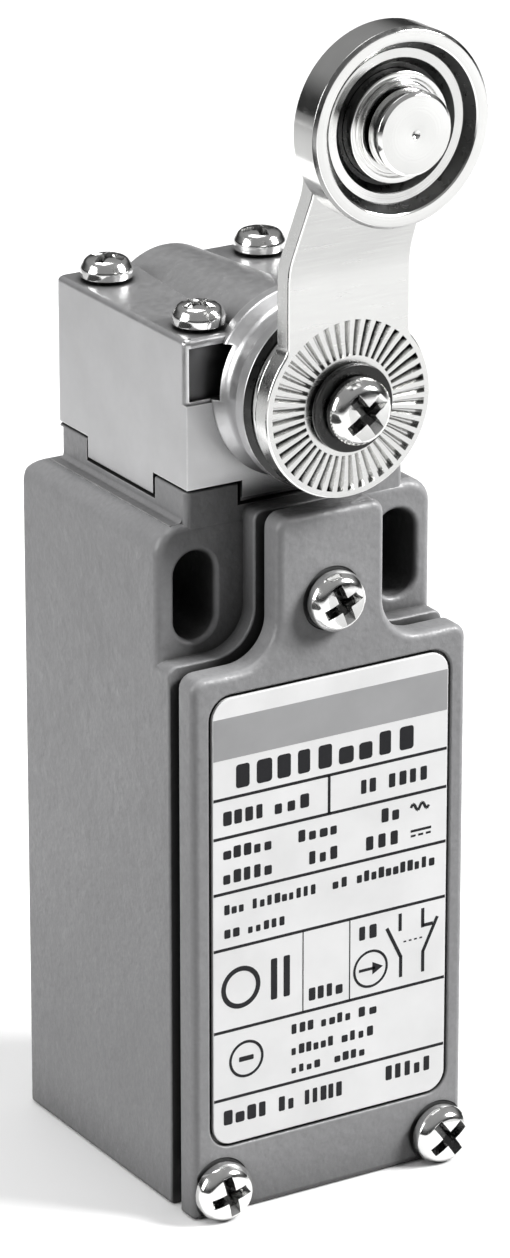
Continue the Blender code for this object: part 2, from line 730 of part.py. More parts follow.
def contact_block():
    """The moulded block with a channel for the carrier and slots and pockets for the contacts."""
    block = box(
        "contact_block",
        (-BLOCK_HALF, BLOCK_FRONT, BLOCK_BOTTOM),
        (BLOCK_HALF, -BACK_WALL - GAP, BLOCK_TOP),
        "black_plastic",
    )
    ahead = BLOCK_FRONT - 3.0 * MM
    half = CHANNEL_HALF
    reach = BRIDGE_HALF + 1.3 * MM
    front = BRIDGE_Y - 3.1 * MM
    back = BRIDGE_Y + 3.1 * MM
    cut(
        block,
        box("channel", (-half, ahead, CHANNEL_FLOOR), (half, CHANNEL_BACK, 0.0)),
        box("nc_slot", (-reach, front, -24.4 * MM), (reach, back, NC_LEG - 0.1 * MM)),
        box("no_slot", (-reach, front, NO_LEG - 0.1 * MM), (reach, back, -31.9 * MM)),
    )
    inside = half - 0.2 * MM
    for side in (-1, 1):
        xs = sorted((side * inside, side * 9.8 * MM))
        back = -11.7 * MM
        cut(
            block,
            box("nc_pocket", (xs[0], ahead, NC_LEG - GAP), (xs[1], back, NC_LEG + LEG_THICK + GAP)),
            box("no_pocket", (xs[0], ahead, NO_LEG - LEG_THICK - GAP), (xs[1], back, NO_LEG + GAP)),
        )
        for z in (NC_SCREW_Z, NO_SCREW_Z):
            spot = (side * TERMINAL_X, z)
            way = rod("terminal_way", TERMINAL_WAY, spot, ahead, -13.2 * MM, FRONT, sides=16)
            cut(block, way)
        spot = (side * BLOCK_SCREW_X, BLOCK_SCREW_Z)
        cut(
            block,
            rod("block_screw_way", TAPPED, spot, ahead, 0.0, FRONT, sides=16),
            rod("block_screw_seat", 2.4 * MM, spot, ahead, BLOCK_SCREW_SEAT, FRONT, sides=16),
        )
        name = "block_screw_left" if side < 0 else "block_screw_right"
        screw(name, (spot[0], BLOCK_SCREW_SEAT - GAP, spot[1]), FRONT, BLOCK_SCREW, "slot")
    width = half - GAP
    box(
        "block_front",
        (-width, -23.7 * MM, CHANNEL_FLOOR + GAP),
        (width, -21.6 * MM, BLOCK_TOP - GAP),
        "black_plastic",
    )


def terminals():
    """Four angled terminal strips, each with its silver contact, clamp and screw."""
    inner = BLOCK_FRONT - GAP
    front = inner - TERMINAL_THICK
    back = -12.0 * MM
    upper = [
        (front, NC_LEG),
        (back, NC_LEG),
        (back, NC_LEG + LEG_THICK),
        (inner, NC_LEG + LEG_THICK),
        (inner, BLOCK_TOP - 0.2 * MM),
        (front, BLOCK_TOP - 0.2 * MM),
    ]
    lower = [
        (front, NO_LEG),
        (back, NO_LEG),
        (back, NO_LEG - LEG_THICK),
        (inner, NO_LEG - LEG_THICK),
        (inner, -41.4 * MM),
        (front, -41.4 * MM),
    ]
    sets = (("nc", upper, NC_SCREW_Z, NC_LEG, -1), ("no", lower, NO_SCREW_Z, NO_LEG, 1))
    for kind, outline, z, leg, way_out in sets:
        for side, word in ((-1, "left"), (1, "right")):
            xs = sorted((side * 4.5 * MM, side * 9.5 * MM))
            name = f"terminal_{kind}_{word}"
            strip = plate(name, [outline], xs[0], xs[1], SIDE, "brass")
            hole = (side * TERMINAL_X, z)
            way = rod(name + "_hole", TERMINAL_WAY, hole, 2 * front, back, FRONT, sides=16)
            tips = sorted((leg - way_out * 0.4 * MM, leg + way_out * 0.25 * MM))
            tip = (side * CONTACT_X, BRIDGE_Y)
            cut(strip, way)
            join(strip, rod(name + "_contact", CONTACT, tip, tips[0], tips[1], sides=16))
            clamp = box(
                f"clamp_{kind}_{word}",
                (hole[0] - 2.4 * MM, front - GAP - CLAMP_THICK, z - 2.1 * MM),
                (hole[0] + 2.4 * MM, front - GAP, z + 2.1 * MM),
                "plated_steel",
            )
            way = rod(clamp.name + "_hole", TERMINAL_WAY, hole, 2 * front, back, FRONT, sides=16)
            cut(clamp, way)
            seat = (hole[0], front - 2 * GAP - CLAMP_THICK, z)
            screw(f"terminal_screw_{kind}_{word}", seat, FRONT, TERMINAL_SCREW, "slot")


def carrier():
    """The sliding contact carrier with a window for each bridge and its spring."""
    half = CHANNEL_HALF - GAP
    slide = box(
        "contact_carrier",
        (-half, -21.0 * MM, CARRIER_BOTTOM),
        (half, CHANNEL_BACK - 0.4 * MM, CARRIER_TOP),
        "white_plastic",
    )
    windows = (("nc_window", -25.6 * MM, -20.3 * MM), ("no_window", -33.7 * MM, -28.4 * MM))
    for name, low, high in windows:
        cut(slide, box(name, (-8.0 * MM, -17.2 * MM, low), (8.0 * MM, -11.8 * MM, high)))
    spot = (0.0, BRIDGE_Y)
    high = NC_BRIDGE - BRIDGE_THICK - GAP
    spring("nc_contact_spring", spot, 1.5 * MM, 0.2 * MM, -25.3 * MM, high, 4)
    spring("no_contact_spring", spot, 1.5 * MM, 0.2 * MM, NO_BRIDGE + GAP, -28.7 * MM, 4)
    spring("carrier_spring", spot, 2.6 * MM, 0.3 * MM, CHANNEL_FLOOR + GAP, CARRIER_BOTTOM - GAP, 4)
    return slide


def bridge(name, top, way):
    """A moving contact bridge with a silver contact near each end, facing up or down."""
    low = top - BRIDGE_THICK
    bar = box(
        name,
        (-BRIDGE_HALF, BRIDGE_Y - BRIDGE_WIDTH_HALF, low),
        (BRIDGE_HALF, BRIDGE_Y + BRIDGE_WIDTH_HALF, top),
        "brass",
        "Z",
        0.8 * MM,
    )
    face = top if way > 0 else low
    ends = sorted((face - way * 0.3 * MM, face + way * 0.15 * MM))
    for x in (-CONTACT_X, CONTACT_X):
        join(bar, rod(name + "_contact", CONTACT, (x, BRIDGE_Y), ends[0], ends[1], sides=16))
    return bar


def earth():
    """The earth terminal at the back of the wiring space."""
    x, z = EARTH_SPOT
    back = -BACK_WALL - GAP
    front = back - CLAMP_THICK
    low = (x - 2.6 * MM, front, z - 2.4 * MM)
    clamp = box("earth_clamp", low, (x + 2.6 * MM, back, z + 2.4 * MM), "brass")
    cut(clamp, rod("earth_clamp_hole", TAPPED, EARTH_SPOT, 2 * front, 0.0, FRONT, sides=16))
    screw("earth_screw", (x, front - GAP, z), FRONT, EARTH_SCREW, "slot")


def carry(name, spot, pieces):
    """Parents the pieces of a moving body to an empty on its joint's axis, where they are."""
    axis = bpy.data.objects.new(name, None)
    axis.location = spot
    axis.empty_display_size = 0.01
    PARTS.objects.link(axis)
    bpy.context.view_layer.update()
    for piece in pieces:
        piece.parent = axis
        piece.matrix_parent_inverse = axis.matrix_world.inverted()
    return axis


def build():
    casing()
    cover()
    head()
    contact_block()
    terminals()
    earth()
    lever_axis = carry("lever_axis", (0.0, LEVER_BACK, AXIS_Z), shaft_group() + lever_group())
    roller_axis = carry("roller_axis", (0.0, ROLLER_BACK, ROLLER_Z), roller_group())
    roller_axis.parent = lever_axis
    roller_axis.matrix_parent_inverse = lever_axis.matrix_world.inverted()
    carry("plunger_axis", (0.0, HEAD_Y, 0.0), plunger_group())
    carry("carrier_axis", (0.0, HEAD_Y, CARRIER_TOP), [carrier()])
    carry("nc_bridge_axis", (0.0, BRIDGE_Y, NC_BRIDGE), [bridge("nc_bridge", NC_BRIDGE, 1)])
    carry("no_bridge_axis", (0.0, BRIDGE_Y, NO_BRIDGE), [bridge("no_bridge", NO_BRIDGE, -1)])


build()
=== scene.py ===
"""Looks of a limit switch with a side roller lever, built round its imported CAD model."""

import json
import math
import random

import bmesh
import bpy
from mathutils import Matrix, Vector


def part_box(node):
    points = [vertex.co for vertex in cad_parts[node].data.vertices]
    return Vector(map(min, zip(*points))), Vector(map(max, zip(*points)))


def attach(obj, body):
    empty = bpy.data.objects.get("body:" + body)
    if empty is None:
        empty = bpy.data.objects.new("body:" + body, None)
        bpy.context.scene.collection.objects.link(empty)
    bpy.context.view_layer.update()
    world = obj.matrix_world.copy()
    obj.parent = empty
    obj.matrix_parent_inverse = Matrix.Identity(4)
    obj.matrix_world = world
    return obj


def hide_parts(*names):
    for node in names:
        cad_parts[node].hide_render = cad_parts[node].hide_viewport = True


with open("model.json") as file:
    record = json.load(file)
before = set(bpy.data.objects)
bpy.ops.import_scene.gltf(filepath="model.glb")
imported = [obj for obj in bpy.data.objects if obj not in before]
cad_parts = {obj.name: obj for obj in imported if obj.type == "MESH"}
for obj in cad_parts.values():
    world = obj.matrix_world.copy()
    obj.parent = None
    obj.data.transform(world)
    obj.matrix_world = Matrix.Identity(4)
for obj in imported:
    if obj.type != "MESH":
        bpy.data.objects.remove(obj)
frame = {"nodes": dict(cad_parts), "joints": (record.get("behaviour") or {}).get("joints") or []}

MM = 0.001
LIT_SPOT = Vector((0.0, -0.015, 0.0))  # what the lights point at, in metres
FLOOR_REACH = 12.0  # in metres
UP = (0.0, 0.0, 0.0)
FRONT = (math.pi / 2, 0.0, 0.0)  # local +Z to -Y, local +Y to +Z

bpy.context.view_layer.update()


def box_mm(node):
    """A CAD node's lowest and highest corners in millimetres."""
    low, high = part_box(node)
    return low / MM, high / MM


def middle_of(node):
    """The middle of a CAD node's box, in millimetres."""
    low, high = box_mm(node)
    return (low + high) / 2


def along_axis(node, turn):
    """A turned node's spot, and its lowest and highest level along its own axis."""
    low, high = box_mm(node)
    x, y, z = (low + high) / 2
    if turn == FRONT:
        return (x, 0.0, z), -high.y, -low.y
    return (x, y, 0.0), low.z, high.z


def joint_mm(name):
    """A joint's place in millimetres."""
    found = next(j for j in frame["joints"] if j["name"] == name)
    return Vector(found["pos_m"]) / MM


# Sizes read from the frame
CASING_LOW, CASING_HIGH = box_mm("casing")
COVER_LOW, COVER_HIGH = box_mm("front_cover")
PLATE_LOW, PLATE_HIGH = box_mm("name_plate")
GASKET_LOW, GASKET_HIGH = box_mm("cover_gasket")
HEAD_LOW, HEAD_HIGH = box_mm("head_housing")
SHAFT_LOW, SHAFT_HIGH = box_mm("shaft")
LEVER_HIGH = box_mm("lever_arm")[1]
ROLLER_LOW, ROLLER_HIGH = box_mm("roller")
AXIS_Z = joint_mm("lever_turn").z
ROLLER_Z = joint_mm("roller_spin").z
HALF = CASING_HIGH.x
HEAD_HALF = HEAD_HIGH.x
HEAD_Y = HEAD_HIGH.y - HEAD_HALF
HUB = (0.0, 0.0, AXIS_Z)
ROLLER_SPOT = (0.0, 0.0, ROLLER_Z)

# Sizes of details, in millimetres
SHOULDER_Z = -5.7
EAR_TOP = 7.0
EAR_CORNER = 2.5
BACK_CORNER = 2.6
EAR_FRONT = -25.4
BODY_CORNER = 1.0
FOOT_CORNER = 0.45
NECK_HALF = 5.8
NECK_FLARE = 4.2
COLLAR_FLOOR = 8.0
COLLAR_HALF = HEAD_HALF - 0.05
TOOTH_INNER = 6.3
WALL = 2.2
ENTRY_Y = HEAD_Y - 1.0
BACK_WALL = 2.5
CAVITY_TOP = -9.0
POST = 3.4
SLOT = (11.0, 2.15, 4.35)  # distance from the middle, half width, half length
HEAD_TOP = 24.8
FLANGE = 9.0
RECESS_Y = HEAD_Y - HEAD_HALF + 0.5
RECESS_LOW = 18.9
DISC = 8.5
TEETH = 44
HUB_HOLE = 2.3
AXLE_HOLE = 2.8
HEAD_SCREW_HOLE = 1.6
LEVER_HALF = 6.5
LEVER_HUB = 8.8
LEVER_TIP = 6.0
LEVER_FILLET = 1.6
LEVER_THICK = 2.0
JOGGLE = 3.8
JOGGLE_LOW = 32.9
JOGGLE_HIGH = 41.2
# Screws: head radius, head height and shank radius
COVER_SCREW = (2.95, 2.0, 1.5)
HEAD_SCREW = (2.5, 2.0, 1.3)
LEVER_SCREW = (3.2, 2.1, 2.0)
COVER_SCREWS = ("cover_screw_top", "cover_screw_left", "cover_screw_right")
HEAD_SCREWS = [f"head_screw_{y}_{x}" for y in ("front", "back") for x in ("left", "right")]


# Objects


def add_object(name, data):
    """Puts a new object in the scene."""
    made = bpy.data.objects.new(name, data)
    bpy.context.scene.collection.objects.link(made)
    return made


def new_piece(name, shape, look, spot=(0.0, 0.0, 0.0), turn=UP):
    """An object made from a bmesh in metres. Its spot is in millimetres."""
    bmesh.ops.recalc_face_normals(shape, faces=shape.faces)
    mesh = bpy.data.meshes.new(name)
    shape.to_mesh(mesh)
    shape.free()
    if look:
        mesh.materials.append(look)
    piece = add_object(name, mesh)
    piece.location = Vector(spot) * MM
    piece.rotation_euler = turn
    return piece


# Camera, floor and light


def make_camera():
    """The photograph's view: from the front left and a little above."""
    yaw = math.radians(31.38)
    pitch = math.radians(20.80)
    level = math.cos(pitch)
    away = Vector((-math.sin(yaw) * level, -math.cos(yaw) * level, math.sin(pitch)))
    target = Vector((0.80, -16.7, -8.38))
    distance = 571.3
    data = bpy.data.cameras.new("camera")
    data.lens = 172.36
    data.sensor_width = 36.0
    data.clip_start = 0.05
    data.clip_end = 60.0
    camera = add_object("camera", data)
    camera.location = (target + distance * away) * MM
    camera.rotation_mode = "QUATERNION"
    camera.rotation_quaternion = (-away).to_track_quat("-Z", "Y")
    bpy.context.scene.camera = camera


def make_sheet(name, grey, low, high, rise=0.0):
    """A matt sheet at floor level, or a little above it, that isn't part of the object."""
    look = bpy.data.materials.new(name)
    look.use_nodes = True
    paint = look.node_tree.nodes["Principled BSDF"]
    paint.inputs["Base Color"].default_value = (grey, grey, grey, 1.0)
    paint.inputs["Roughness"].default_value = 0.9
    paint.inputs["Specular IOR Level"].default_value = 0.1
    level = CASING_LOW.z * MM + rise
    corners = (low, (high[0], low[1]), high, (low[0], high[1]))
    shape = bmesh.new()
    shape.faces.new([shape.verts.new((x, y, level)) for x, y in corners])
    sheet = new_piece(name, shape, look)
    sheet.visible_diffuse = False
    return sheet


def make_card(name, grey, low, high):
    """A card on the floor beside the switch, that only shows mirrored in the metal."""
    card = make_sheet(name, grey, low, high, 0.5 * MM)
    card.visible_camera = False
    card.visible_shadow = False


def make_light(name, spot, size, power):
    """A square soft light that points at the switch."""
    data = bpy.data.lights.new(name, "AREA")
    data.shape = "SQUARE"
    data.size = size
    data.energy = power
    lamp = add_object(name, data)
    lamp.location = spot
    lamp.rotation_mode = "QUATERNION"
    lamp.rotation_quaternion = (LIT_SPOT - Vector(spot)).to_track_quat("-Z", "Y")


def make_world():
    """A pale studio: bright above, dimmer below, with a dark band round the horizon."""
    world = bpy.data.worlds.new("studio")
    world.use_nodes = True
    tree = world.node_tree
    where = tree.nodes.new("ShaderNodeTexCoord")
    split = tree.nodes.new("ShaderNodeSeparateXYZ")
    spread = tree.nodes.new("ShaderNodeMapRange")
    spread.inputs["From Min"].default_value = -1.0
    shades = tree.nodes.new("ShaderNodeValToRGB")
    stops = ((0.0, 0.40), (0.46, 0.35), (0.50, 0.10), (0.60, 0.14), (0.72, 0.85), (1.0, 1.10))
    ramp = shades.color_ramp
    while len(ramp.elements) < len(stops):
        ramp.elements.new(0.5)
    for stop, (place, grey) in zip(ramp.elements, stops):
        stop.position = place
        stop.color = (grey, grey, grey, 1.0)
    tree.links.new(where.outputs["Generated"], split.inputs[0])
    tree.links.new(split.outputs["Z"], spread.inputs["Value"])
    tree.links.new(spread.outputs[0], shades.inputs[0])
    sky = tree.nodes["Background"]
    tree.links.new(shades.outputs[0], sky.inputs["Color"])
    sky.inputs["Strength"].default_value = 0.32
    bpy.context.scene.world = world
    bpy.context.scene.view_settings.view_transform = "Standard"


make_camera()
make_sheet("floor", 0.92, (-FLOOR_REACH, -FLOOR_REACH), (FLOOR_REACH, FLOOR_REACH))
make_world()
make_card("black_card", 0.02, (-0.75, -0.16), (-0.12, 0.12))
make_card("pale_card", 0.46, (0.03, -0.75), (0.70, -0.04))
make_card("grey_card", 0.50, (-0.60, 0.13), (-0.09, 0.60))
make_light("key", (0.58, -0.46, 0.50), size=0.32, power=13.5)
make_light("left", (-0.80, 0.10, 0.30), size=0.5, power=5.2)
make_light("top", (-0.05, 0.15, 0.80), size=0.5, power=3.0)


# Materials


class Look:
    """A procedural material: noise drives its colour, roughness and relief."""

    def __init__(self, name, colour, roughness, metallic):
        self.made = bpy.data.materials.new(name)
        self.made.use_nodes = True
        self.tree = self.made.node_tree
        self.shader = self.tree.nodes["Principled BSDF"]
        self.shader.inputs["Metallic"].default_value = metallic
        self.shader.inputs["Roughness"].default_value = roughness
        self.colour = colour
        self.place = self.node("TexCoord").outputs["Object"]
        self.made.diffuse_color = (*colour, 1.0)

    def node(self, kind, links=(), values=(), **settings):
        made = self.tree.nodes.new("ShaderNode" + kind)
        for key, value in settings.items():
            setattr(made, key, value)
        for socket, value in values:
            made.inputs[socket].default_value = value
        for socket, source in links:
            self.tree.links.new(source, made.inputs[socket])
        return made

    def scaled(self, factors):
        """The place on the piece, scaled along each axis."""
        links, values = [(0, self.place)], [(1, factors)]
        return self.node("VectorMath", links, values, operation="MULTIPLY").outputs[0]

    def noise(self, size, detail=3.0, stretch=(1.0, 1.0, 1.0)):
        """Noise whose features are about size millimetres across, longer where stretch is below 1."""
        values = [("Scale", 1.0 / (size * MM)), ("Detail", detail)]
        return self.node("TexNoise", [("Vector", self.scaled(stretch))], values).outputs[0]

    def rings(self, size, detail):
        """Noise in rings round the local Z axis, as a lathe leaves."""
        flat = self.scaled((1.0, 1.0, 0.0))
        radius = self.node("VectorMath", [(0, flat)], operation="LENGTH").outputs["Value"]
        values = [("Scale", 1.0 / (size * MM)), ("Detail", detail)]
        return self.node("TexNoise", [("W", radius)], values, noise_dimensions="1D").outputs[0]

    def spread(self, source, low, high, start=0.3, end=0.7):
        """Maps a value between start and end to low and high."""
        values = [("From Min", start), ("From Max", end), ("To Min", low), ("To Max", high)]
        return self.node("MapRange", [("Value", source)], values).outputs[0]

    def sum(self, first, second, operation="ADD"):
        return self.node("Math", [(0, first), (1, second)], operation=operation).outputs[0]

    def edges(self, radius):
        """One along convex and concave edges, nothing on open faces."""
        soft = self.node("Bevel", values=[("Radius", radius * MM)], samples=6)
        flat = self.node("NewGeometry").outputs["Normal"]
        links = [(0, soft.outputs[0]), (1, flat)]
        same = self.node("VectorMath", links, operation="DOT_PRODUCT").outputs["Value"]
        return self.spread(same, 1.0, 0.0, 0.80, 0.995)

    def crevices(self, reach):
        """Nothing on open faces, one deep in grooves and corners up to reach millimetres wide."""
        values = [("Distance", reach * MM)]
        light = self.node("AmbientOcclusion", values=values, samples=8).outputs["AO"]
        return self.spread(light, 1.0, 0.0, 0.25, 0.80)

    def paint_shade(self, base, reach, dark, where=None):
        """Painted shade: darkens the colour in crevices, where ambient light is shut out, in full or
        as far as a mask says.
        """
        mask = self.crevices(reach)
        if where:
            mask = self.sum(mask, where, "MULTIPLY")
        return self.wear_and_painted_light(base, mask, (dark, dark, dark))

    def quarters(self, level):
        """One at the upper right and lower left of a centre at this height, less elsewhere."""
        along = self.node("SeparateXYZ", [(0, self.place)]).outputs
        rise = self.node("Math", [(0, along[2])], [(1, -level * MM)]).outputs[0]
        product = self.sum(along[0], rise, "MULTIPLY")
        values = [("From Min", 0.0), ("From Max", 16.0 * MM * MM), ("To Min", 0.30)]
        return self.node("MapRange", [("Value", product)], values).outputs[0]

    def mix(self, links, values):
        """Mixes two colours, and makes the mixture the base colour."""
        mixed = self.node("Mix", links, values, data_type="RGBA").outputs[2]
        self.tree.links.new(mixed, self.shader.inputs["Base Color"])
        return mixed

    def shade(self, amount, low, high):
        """The colour between two brightness factors, by amount."""
        ends = [tuple(min(1.0, c * f) for c in self.colour) + (1.0,) for f in (low, high)]
        return self.mix([(0, amount)], [(6, ends[0]), (7, ends[1])])

    def wear_and_painted_light(self, base, mask, colour):
        """Another colour where the mask is one; it lays both edge wear with a painted highlight and
        painted shade.
        """
        return self.mix([(0, mask), (6, base)], [(7, (*colour, 1.0))])

    def gloss(self, amount, low, high):
        self.tree.links.new(self.spread(amount, low, high), self.shader.inputs["Roughness"])

    def relief(self, *layers):
        """Bump layers, each a height source and its depth in millimetres."""
        normal = None
        for source, depth in layers:
            links = [("Height", source)]
            if normal:
                links.append(("Normal", normal))
            values = [("Strength", 1.0), ("Distance", depth * MM)]
            normal = self.node("Bump", links, values).outputs[0]
        self.tree.links.new(normal, self.shader.inputs["Normal"])


def enamel():
    """Grey stoving enamel with a fine orange peel, a little brighter along its edges, partly as wear
    and partly as a painted highlight, with painted shade in its corners and crevices.
    """
    look = Look("grey_enamel", (0.285, 0.285, 0.290), 0.42, 0.0)
    base = look.shade(look.sum(look.noise(9.0), look.noise(0.5, 2.0), "MULTIPLY"), 0.80, 1.25)
    # Lighter edges: partly wear, partly a painted highlight on the rounded edges
    edge_wear_and_highlight = look.sum(look.edges(0.35), look.spread(look.noise(1.4), 0.15, 0.75), "MULTIPLY")
    base = look.wear_and_painted_light(base, edge_wear_and_highlight, (0.62, 0.62, 0.62))
    # Painted shade: darker in broad corners, such as beside the neck, and in narrow crevices
    look.paint_shade(look.paint_shade(base, 11.0, 0.045), 1.2, 0.03)
    look.gloss(look.noise(1.1), 0.34, 0.50)
    look.relief((look.noise(1.3, 2.0), 0.10), (look.noise(0.35, 2.0), 0.022))
    return look.made


def cast_zinc(name="cast_zinc", shade=0.58):
    """Blasted die cast zinc, satin with a fine grain, lighter along its edges partly as wear and
    partly as a painted highlight, with painted shade in its corners.
    """
    look = Look(name, (shade, shade, shade * 1.01), 0.32, 0.85)
    base = look.shade(look.noise(5.0, 5.0), 0.86, 1.10)
    # Lighter edges: partly wear, partly a painted highlight
    edge_wear_and_highlight = look.sum(look.edges(0.30), look.noise(0.9), "MULTIPLY")
    base = look.wear_and_painted_light(base, edge_wear_and_highlight, (0.90, 0.90, 0.90))
    # Painted shade: darker in corners and narrow crevices
    look.paint_shade(look.paint_shade(base, 5.0, 0.08), 1.2, 0.02)
    look.gloss(look.noise(0.8, 4.0), 0.28, 0.38)
    look.relief((look.noise(0.30, 3.0), 0.006), (look.noise(3.0, 2.0), 0.03))
    return look.made


def bright_steel(name="bright_steel", shade=0.80, rough=0.12, reach=1.0):
    """Nickel plated steel with faint scuffs and a little painted shade in its recesses."""
    look = Look(name, (shade, shade, shade * 0.99), rough, 1.0)
    base = look.shade(look.noise(2.5, 4.0), 0.92, 1.06)
    # Painted shade in recesses, unless reach is nothing
    if reach:
        look.paint_shade(base, reach, 0.015)
    look.gloss(look.noise(0.7, 4.0), rough * 0.7, rough * 1.5)
    look.relief((look.noise(1.2, 3.0), 0.008), (look.noise(0.15, 2.0), 0.0015))
    return look.made


def rolled_steel():
    """Plated strip steel with a rolling grain across it, and painted shade in the hub's serrations,
    most at the upper right and lower left.
    """
    look = Look("rolled_steel", (0.82, 0.82, 0.81), 0.24, 1.0)
    grain = look.noise(0.25, 4.0, (0.05, 1.0, 1.0))
    base = look.shade(look.sum(look.noise(8.0), grain, "MULTIPLY"), 0.88, 1.12)
    # Painted shade in the serration grooves, strongest at the upper right and lower left where the
    # grooves lie in shade
    look.paint_shade(base, 0.45, 0.015, look.quarters(AXIS_Z))
    look.gloss(grain, 0.16, 0.28)
    look.relief((grain, 0.004), (look.noise(6.0, 2.0), 0.02))
    return look.made


def turned_steel():
    """Lathe turned steel, polished, with fine rings and painted shade in its grooves."""
    look = Look("turned_steel", (0.82, 0.82, 0.81), 0.11, 1.0)
    cut = look.rings(0.16, 4.0)
    base = look.shade(look.sum(cut, look.noise(3.0), "MULTIPLY"), 0.88, 1.10)
    # Painted shade in the grooves
    look.paint_shade(base, 1.3, 0.015)
    look.gloss(look.noise(1.1, 4.0), 0.08, 0.17)
    look.relief((cut, 0.003), (look.rings(1.4, 1.0), 0.02))
    return look.made


def plain(name, colour, roughness, metallic, grain, depth, spots=3.0):
    """A simple even material with its own grain."""
    look = Look(name, colour, roughness, metallic)
    look.shade(look.noise(spots, 4.0), 0.80, 1.20)
    look.gloss(look.noise(grain * 2), roughness * 0.8, min(1.0, roughness * 1.25))
    look.relief((look.noise(grain, 3.0), depth))
    return look.made


ENAMEL = enamel()
ZINC = cast_zinc()
# Painted shade: a near black zinc for the head's upper front recess, which lies in the lever's shadow
SHADED = cast_zinc("painted_shade_zinc", 0.14)
BRIGHT = bright_steel()
ROLLED = rolled_steel()
TURNED = turned_steel()
# Bright steel with no painted shade in its recesses
UNSHADED = bright_steel("unshaded_steel", 0.84, 0.12, 0.0)
# Painted shadow: near black steel for faces where shade and dark reflections fall, such as the flange
# behind the lever, the roller's grooves and the hub washer
SHADOW_STEEL = bright_steel("painted_shadow_steel", 0.045, 0.30, 0.0)
# Painted shade for the screws' cross recesses
RECESS = bright_steel("painted_recess_shade", 0.085, 0.25, 0.0)
# Painted shade: a dark line round the roller's outer rim
RIM_SHADE = bright_steel("worn_steel", 0.28, 0.20, 0.0)
LOOKS = {
    "casing_paint": ENAMEL,
    "cast_zinc": ZINC,
    "plated_steel": BRIGHT,
    "spring_steel": bright_steel("spring_steel", 0.60, 0.28),
    "brass": plain("brass", (0.75, 0.58, 0.28), 0.28, 1.0, 0.4, 0.006),
    "bronze": plain("bronze", (0.52, 0.36, 0.20), 0.38, 1.0, 0.3, 0.01),
    "rubber": plain("rubber", (0.022, 0.022, 0.024), 0.68, 0.0, 0.35, 0.02),
    "label": plain("label_film", (0.90, 0.90, 0.90), 0.38, 0.0, 0.6, 0.004, 8.0),
    "black_plastic": plain("black_plastic", (0.035, 0.035, 0.038), 0.45, 0.0, 0.5, 0.015),
    "white_plastic": plain("white_plastic", (0.72, 0.72, 0.68), 0.45, 0.0, 0.5, 0.01),
}
INK = plain("black_ink", (0.018, 0.018, 0.020), 0.5, 0.0, 0.2, 0.002)
INK.node_tree.nodes["Principled BSDF"].inputs["Specular IOR Level"].default_value = 0.15
GREY_INK = plain("grey_ink", (0.36, 0.36, 0.365), 0.45, 0.0, 0.3, 0.002, 6.0)


# Shape tools. Outlines and profiles are in millimetres


def soften(points, closed=True, steps=4):
    """Rounds the corners of a path. Each point is (x, y) or (x, y, radius)."""
    made = []
    for i, point in enumerate(points):
        here = Vector(point[:2])
        if len(point) < 3 or (not closed and i in (0, len(points) - 1)):
            made.append(here)
            continue
        before = Vector(points[i - 1][:2]) - here
        after = Vector(points[(i + 1) % len(points)][:2]) - here
        half = before.angle(after) / 2
        reach = min(point[2] / math.tan(half), 0.49 * before.length, 0.49 * after.length)
        middle = (before.normalized() + after.normalized()).normalized()
        centre = here + middle * reach / math.cos(half)
        first = here + before.normalized() * reach - centre
        last = here + after.normalized() * reach - centre
        turn = math.atan2(first.x * last.y - first.y * last.x, first.dot(last))
        for k in range(steps + 1):
            made.append(centre + Matrix.Rotation(turn * k / steps, 2) @ first)
    return [tuple(p) for p in made]


def arc(x, z, radius, first, last, steps=6):
    """Points of an arc, its angles in degrees from +X towards +Z."""
    angles = [math.radians(first + (last - first) * i / steps) for i in range(steps + 1)]
    return [(x + radius * math.cos(a), z + radius * math.sin(a)) for a in angles]


def rounded(left, low, right, high, radius, foot=None, steps=8):
    """A rectangle with round corners. The lower two can have a radius of their own."""
    foot = foot or radius
    points = arc(right - radius, high - radius, radius, 0, 90, steps)
    points += arc(left + radius, high - radius, radius, 90, 180, steps)
    points += arc(left + foot, low + foot, foot, 180, 270, steps)
    points += arc(right - foot, low + foot, foot, 270, 360, steps)
    return points


def mirrored(right):
    """A whole outline from its right half. Points on the middle line aren't repeated."""
    return right + [(-x, z) for x, z in reversed(right) if abs(x) > 1e-6]


def keyhole(half, low, top, neck, shoulder, inset, corner=BODY_CORNER):
    """The cover's outline drawn in by inset: a wide lower part that flares in to a narrow neck."""
    round_off = corner - inset
    foot = max(0.05, FOOT_CORNER - inset)
    flare = NECK_FLARE + inset
    half, neck, top, shoulder = (v - inset for v in (half, neck, top, shoulder))
    low = low + inset
    right = arc(half - foot, low + foot, foot, 270, 360, 5)
    right += arc(half - round_off, shoulder - round_off, round_off, 0, 90, 5)
    right += arc(neck + flare, shoulder + flare, flare, 270, 180, 16)
    right += arc(neck - round_off, top - round_off, round_off, 0, 90, 5)
    return mirrored(right)


def square(half, corner, steps):
    """A square with round corners about the head's axis, from above."""
    return rounded(-half, HEAD_Y - half, half, HEAD_Y + half, corner, steps=steps)


def plate_outline(inset):
    """The name plate from the front."""
    low, high = PLATE_LOW, PLATE_HIGH
    return rounded(low.x + inset, low.z + inset, high.x - inset, high.z - inset, 2.0 - inset)


def loft(shape, loops):
    """Adds a closed skin over loops of as many points each."""
    rows = [[shape.verts.new(Vector(p) * MM) for p in loop] for loop in loops]
    for low, high in zip(rows, rows[1:]):
        for i in range(len(low)):
            j = (i + 1) % len(low)
            shape.faces.new((low[i], low[j], high[j], high[i]))
    shape.faces.new(rows[0])
    shape.faces.new(rows[-1])


def quarter(steps):
    """Sines and cosines through a quarter circle, both ends included."""
    angles = [math.pi / 2 * i / steps for i in range(steps + 1)]
    return [(math.sin(a), math.cos(a)) for a in angles]


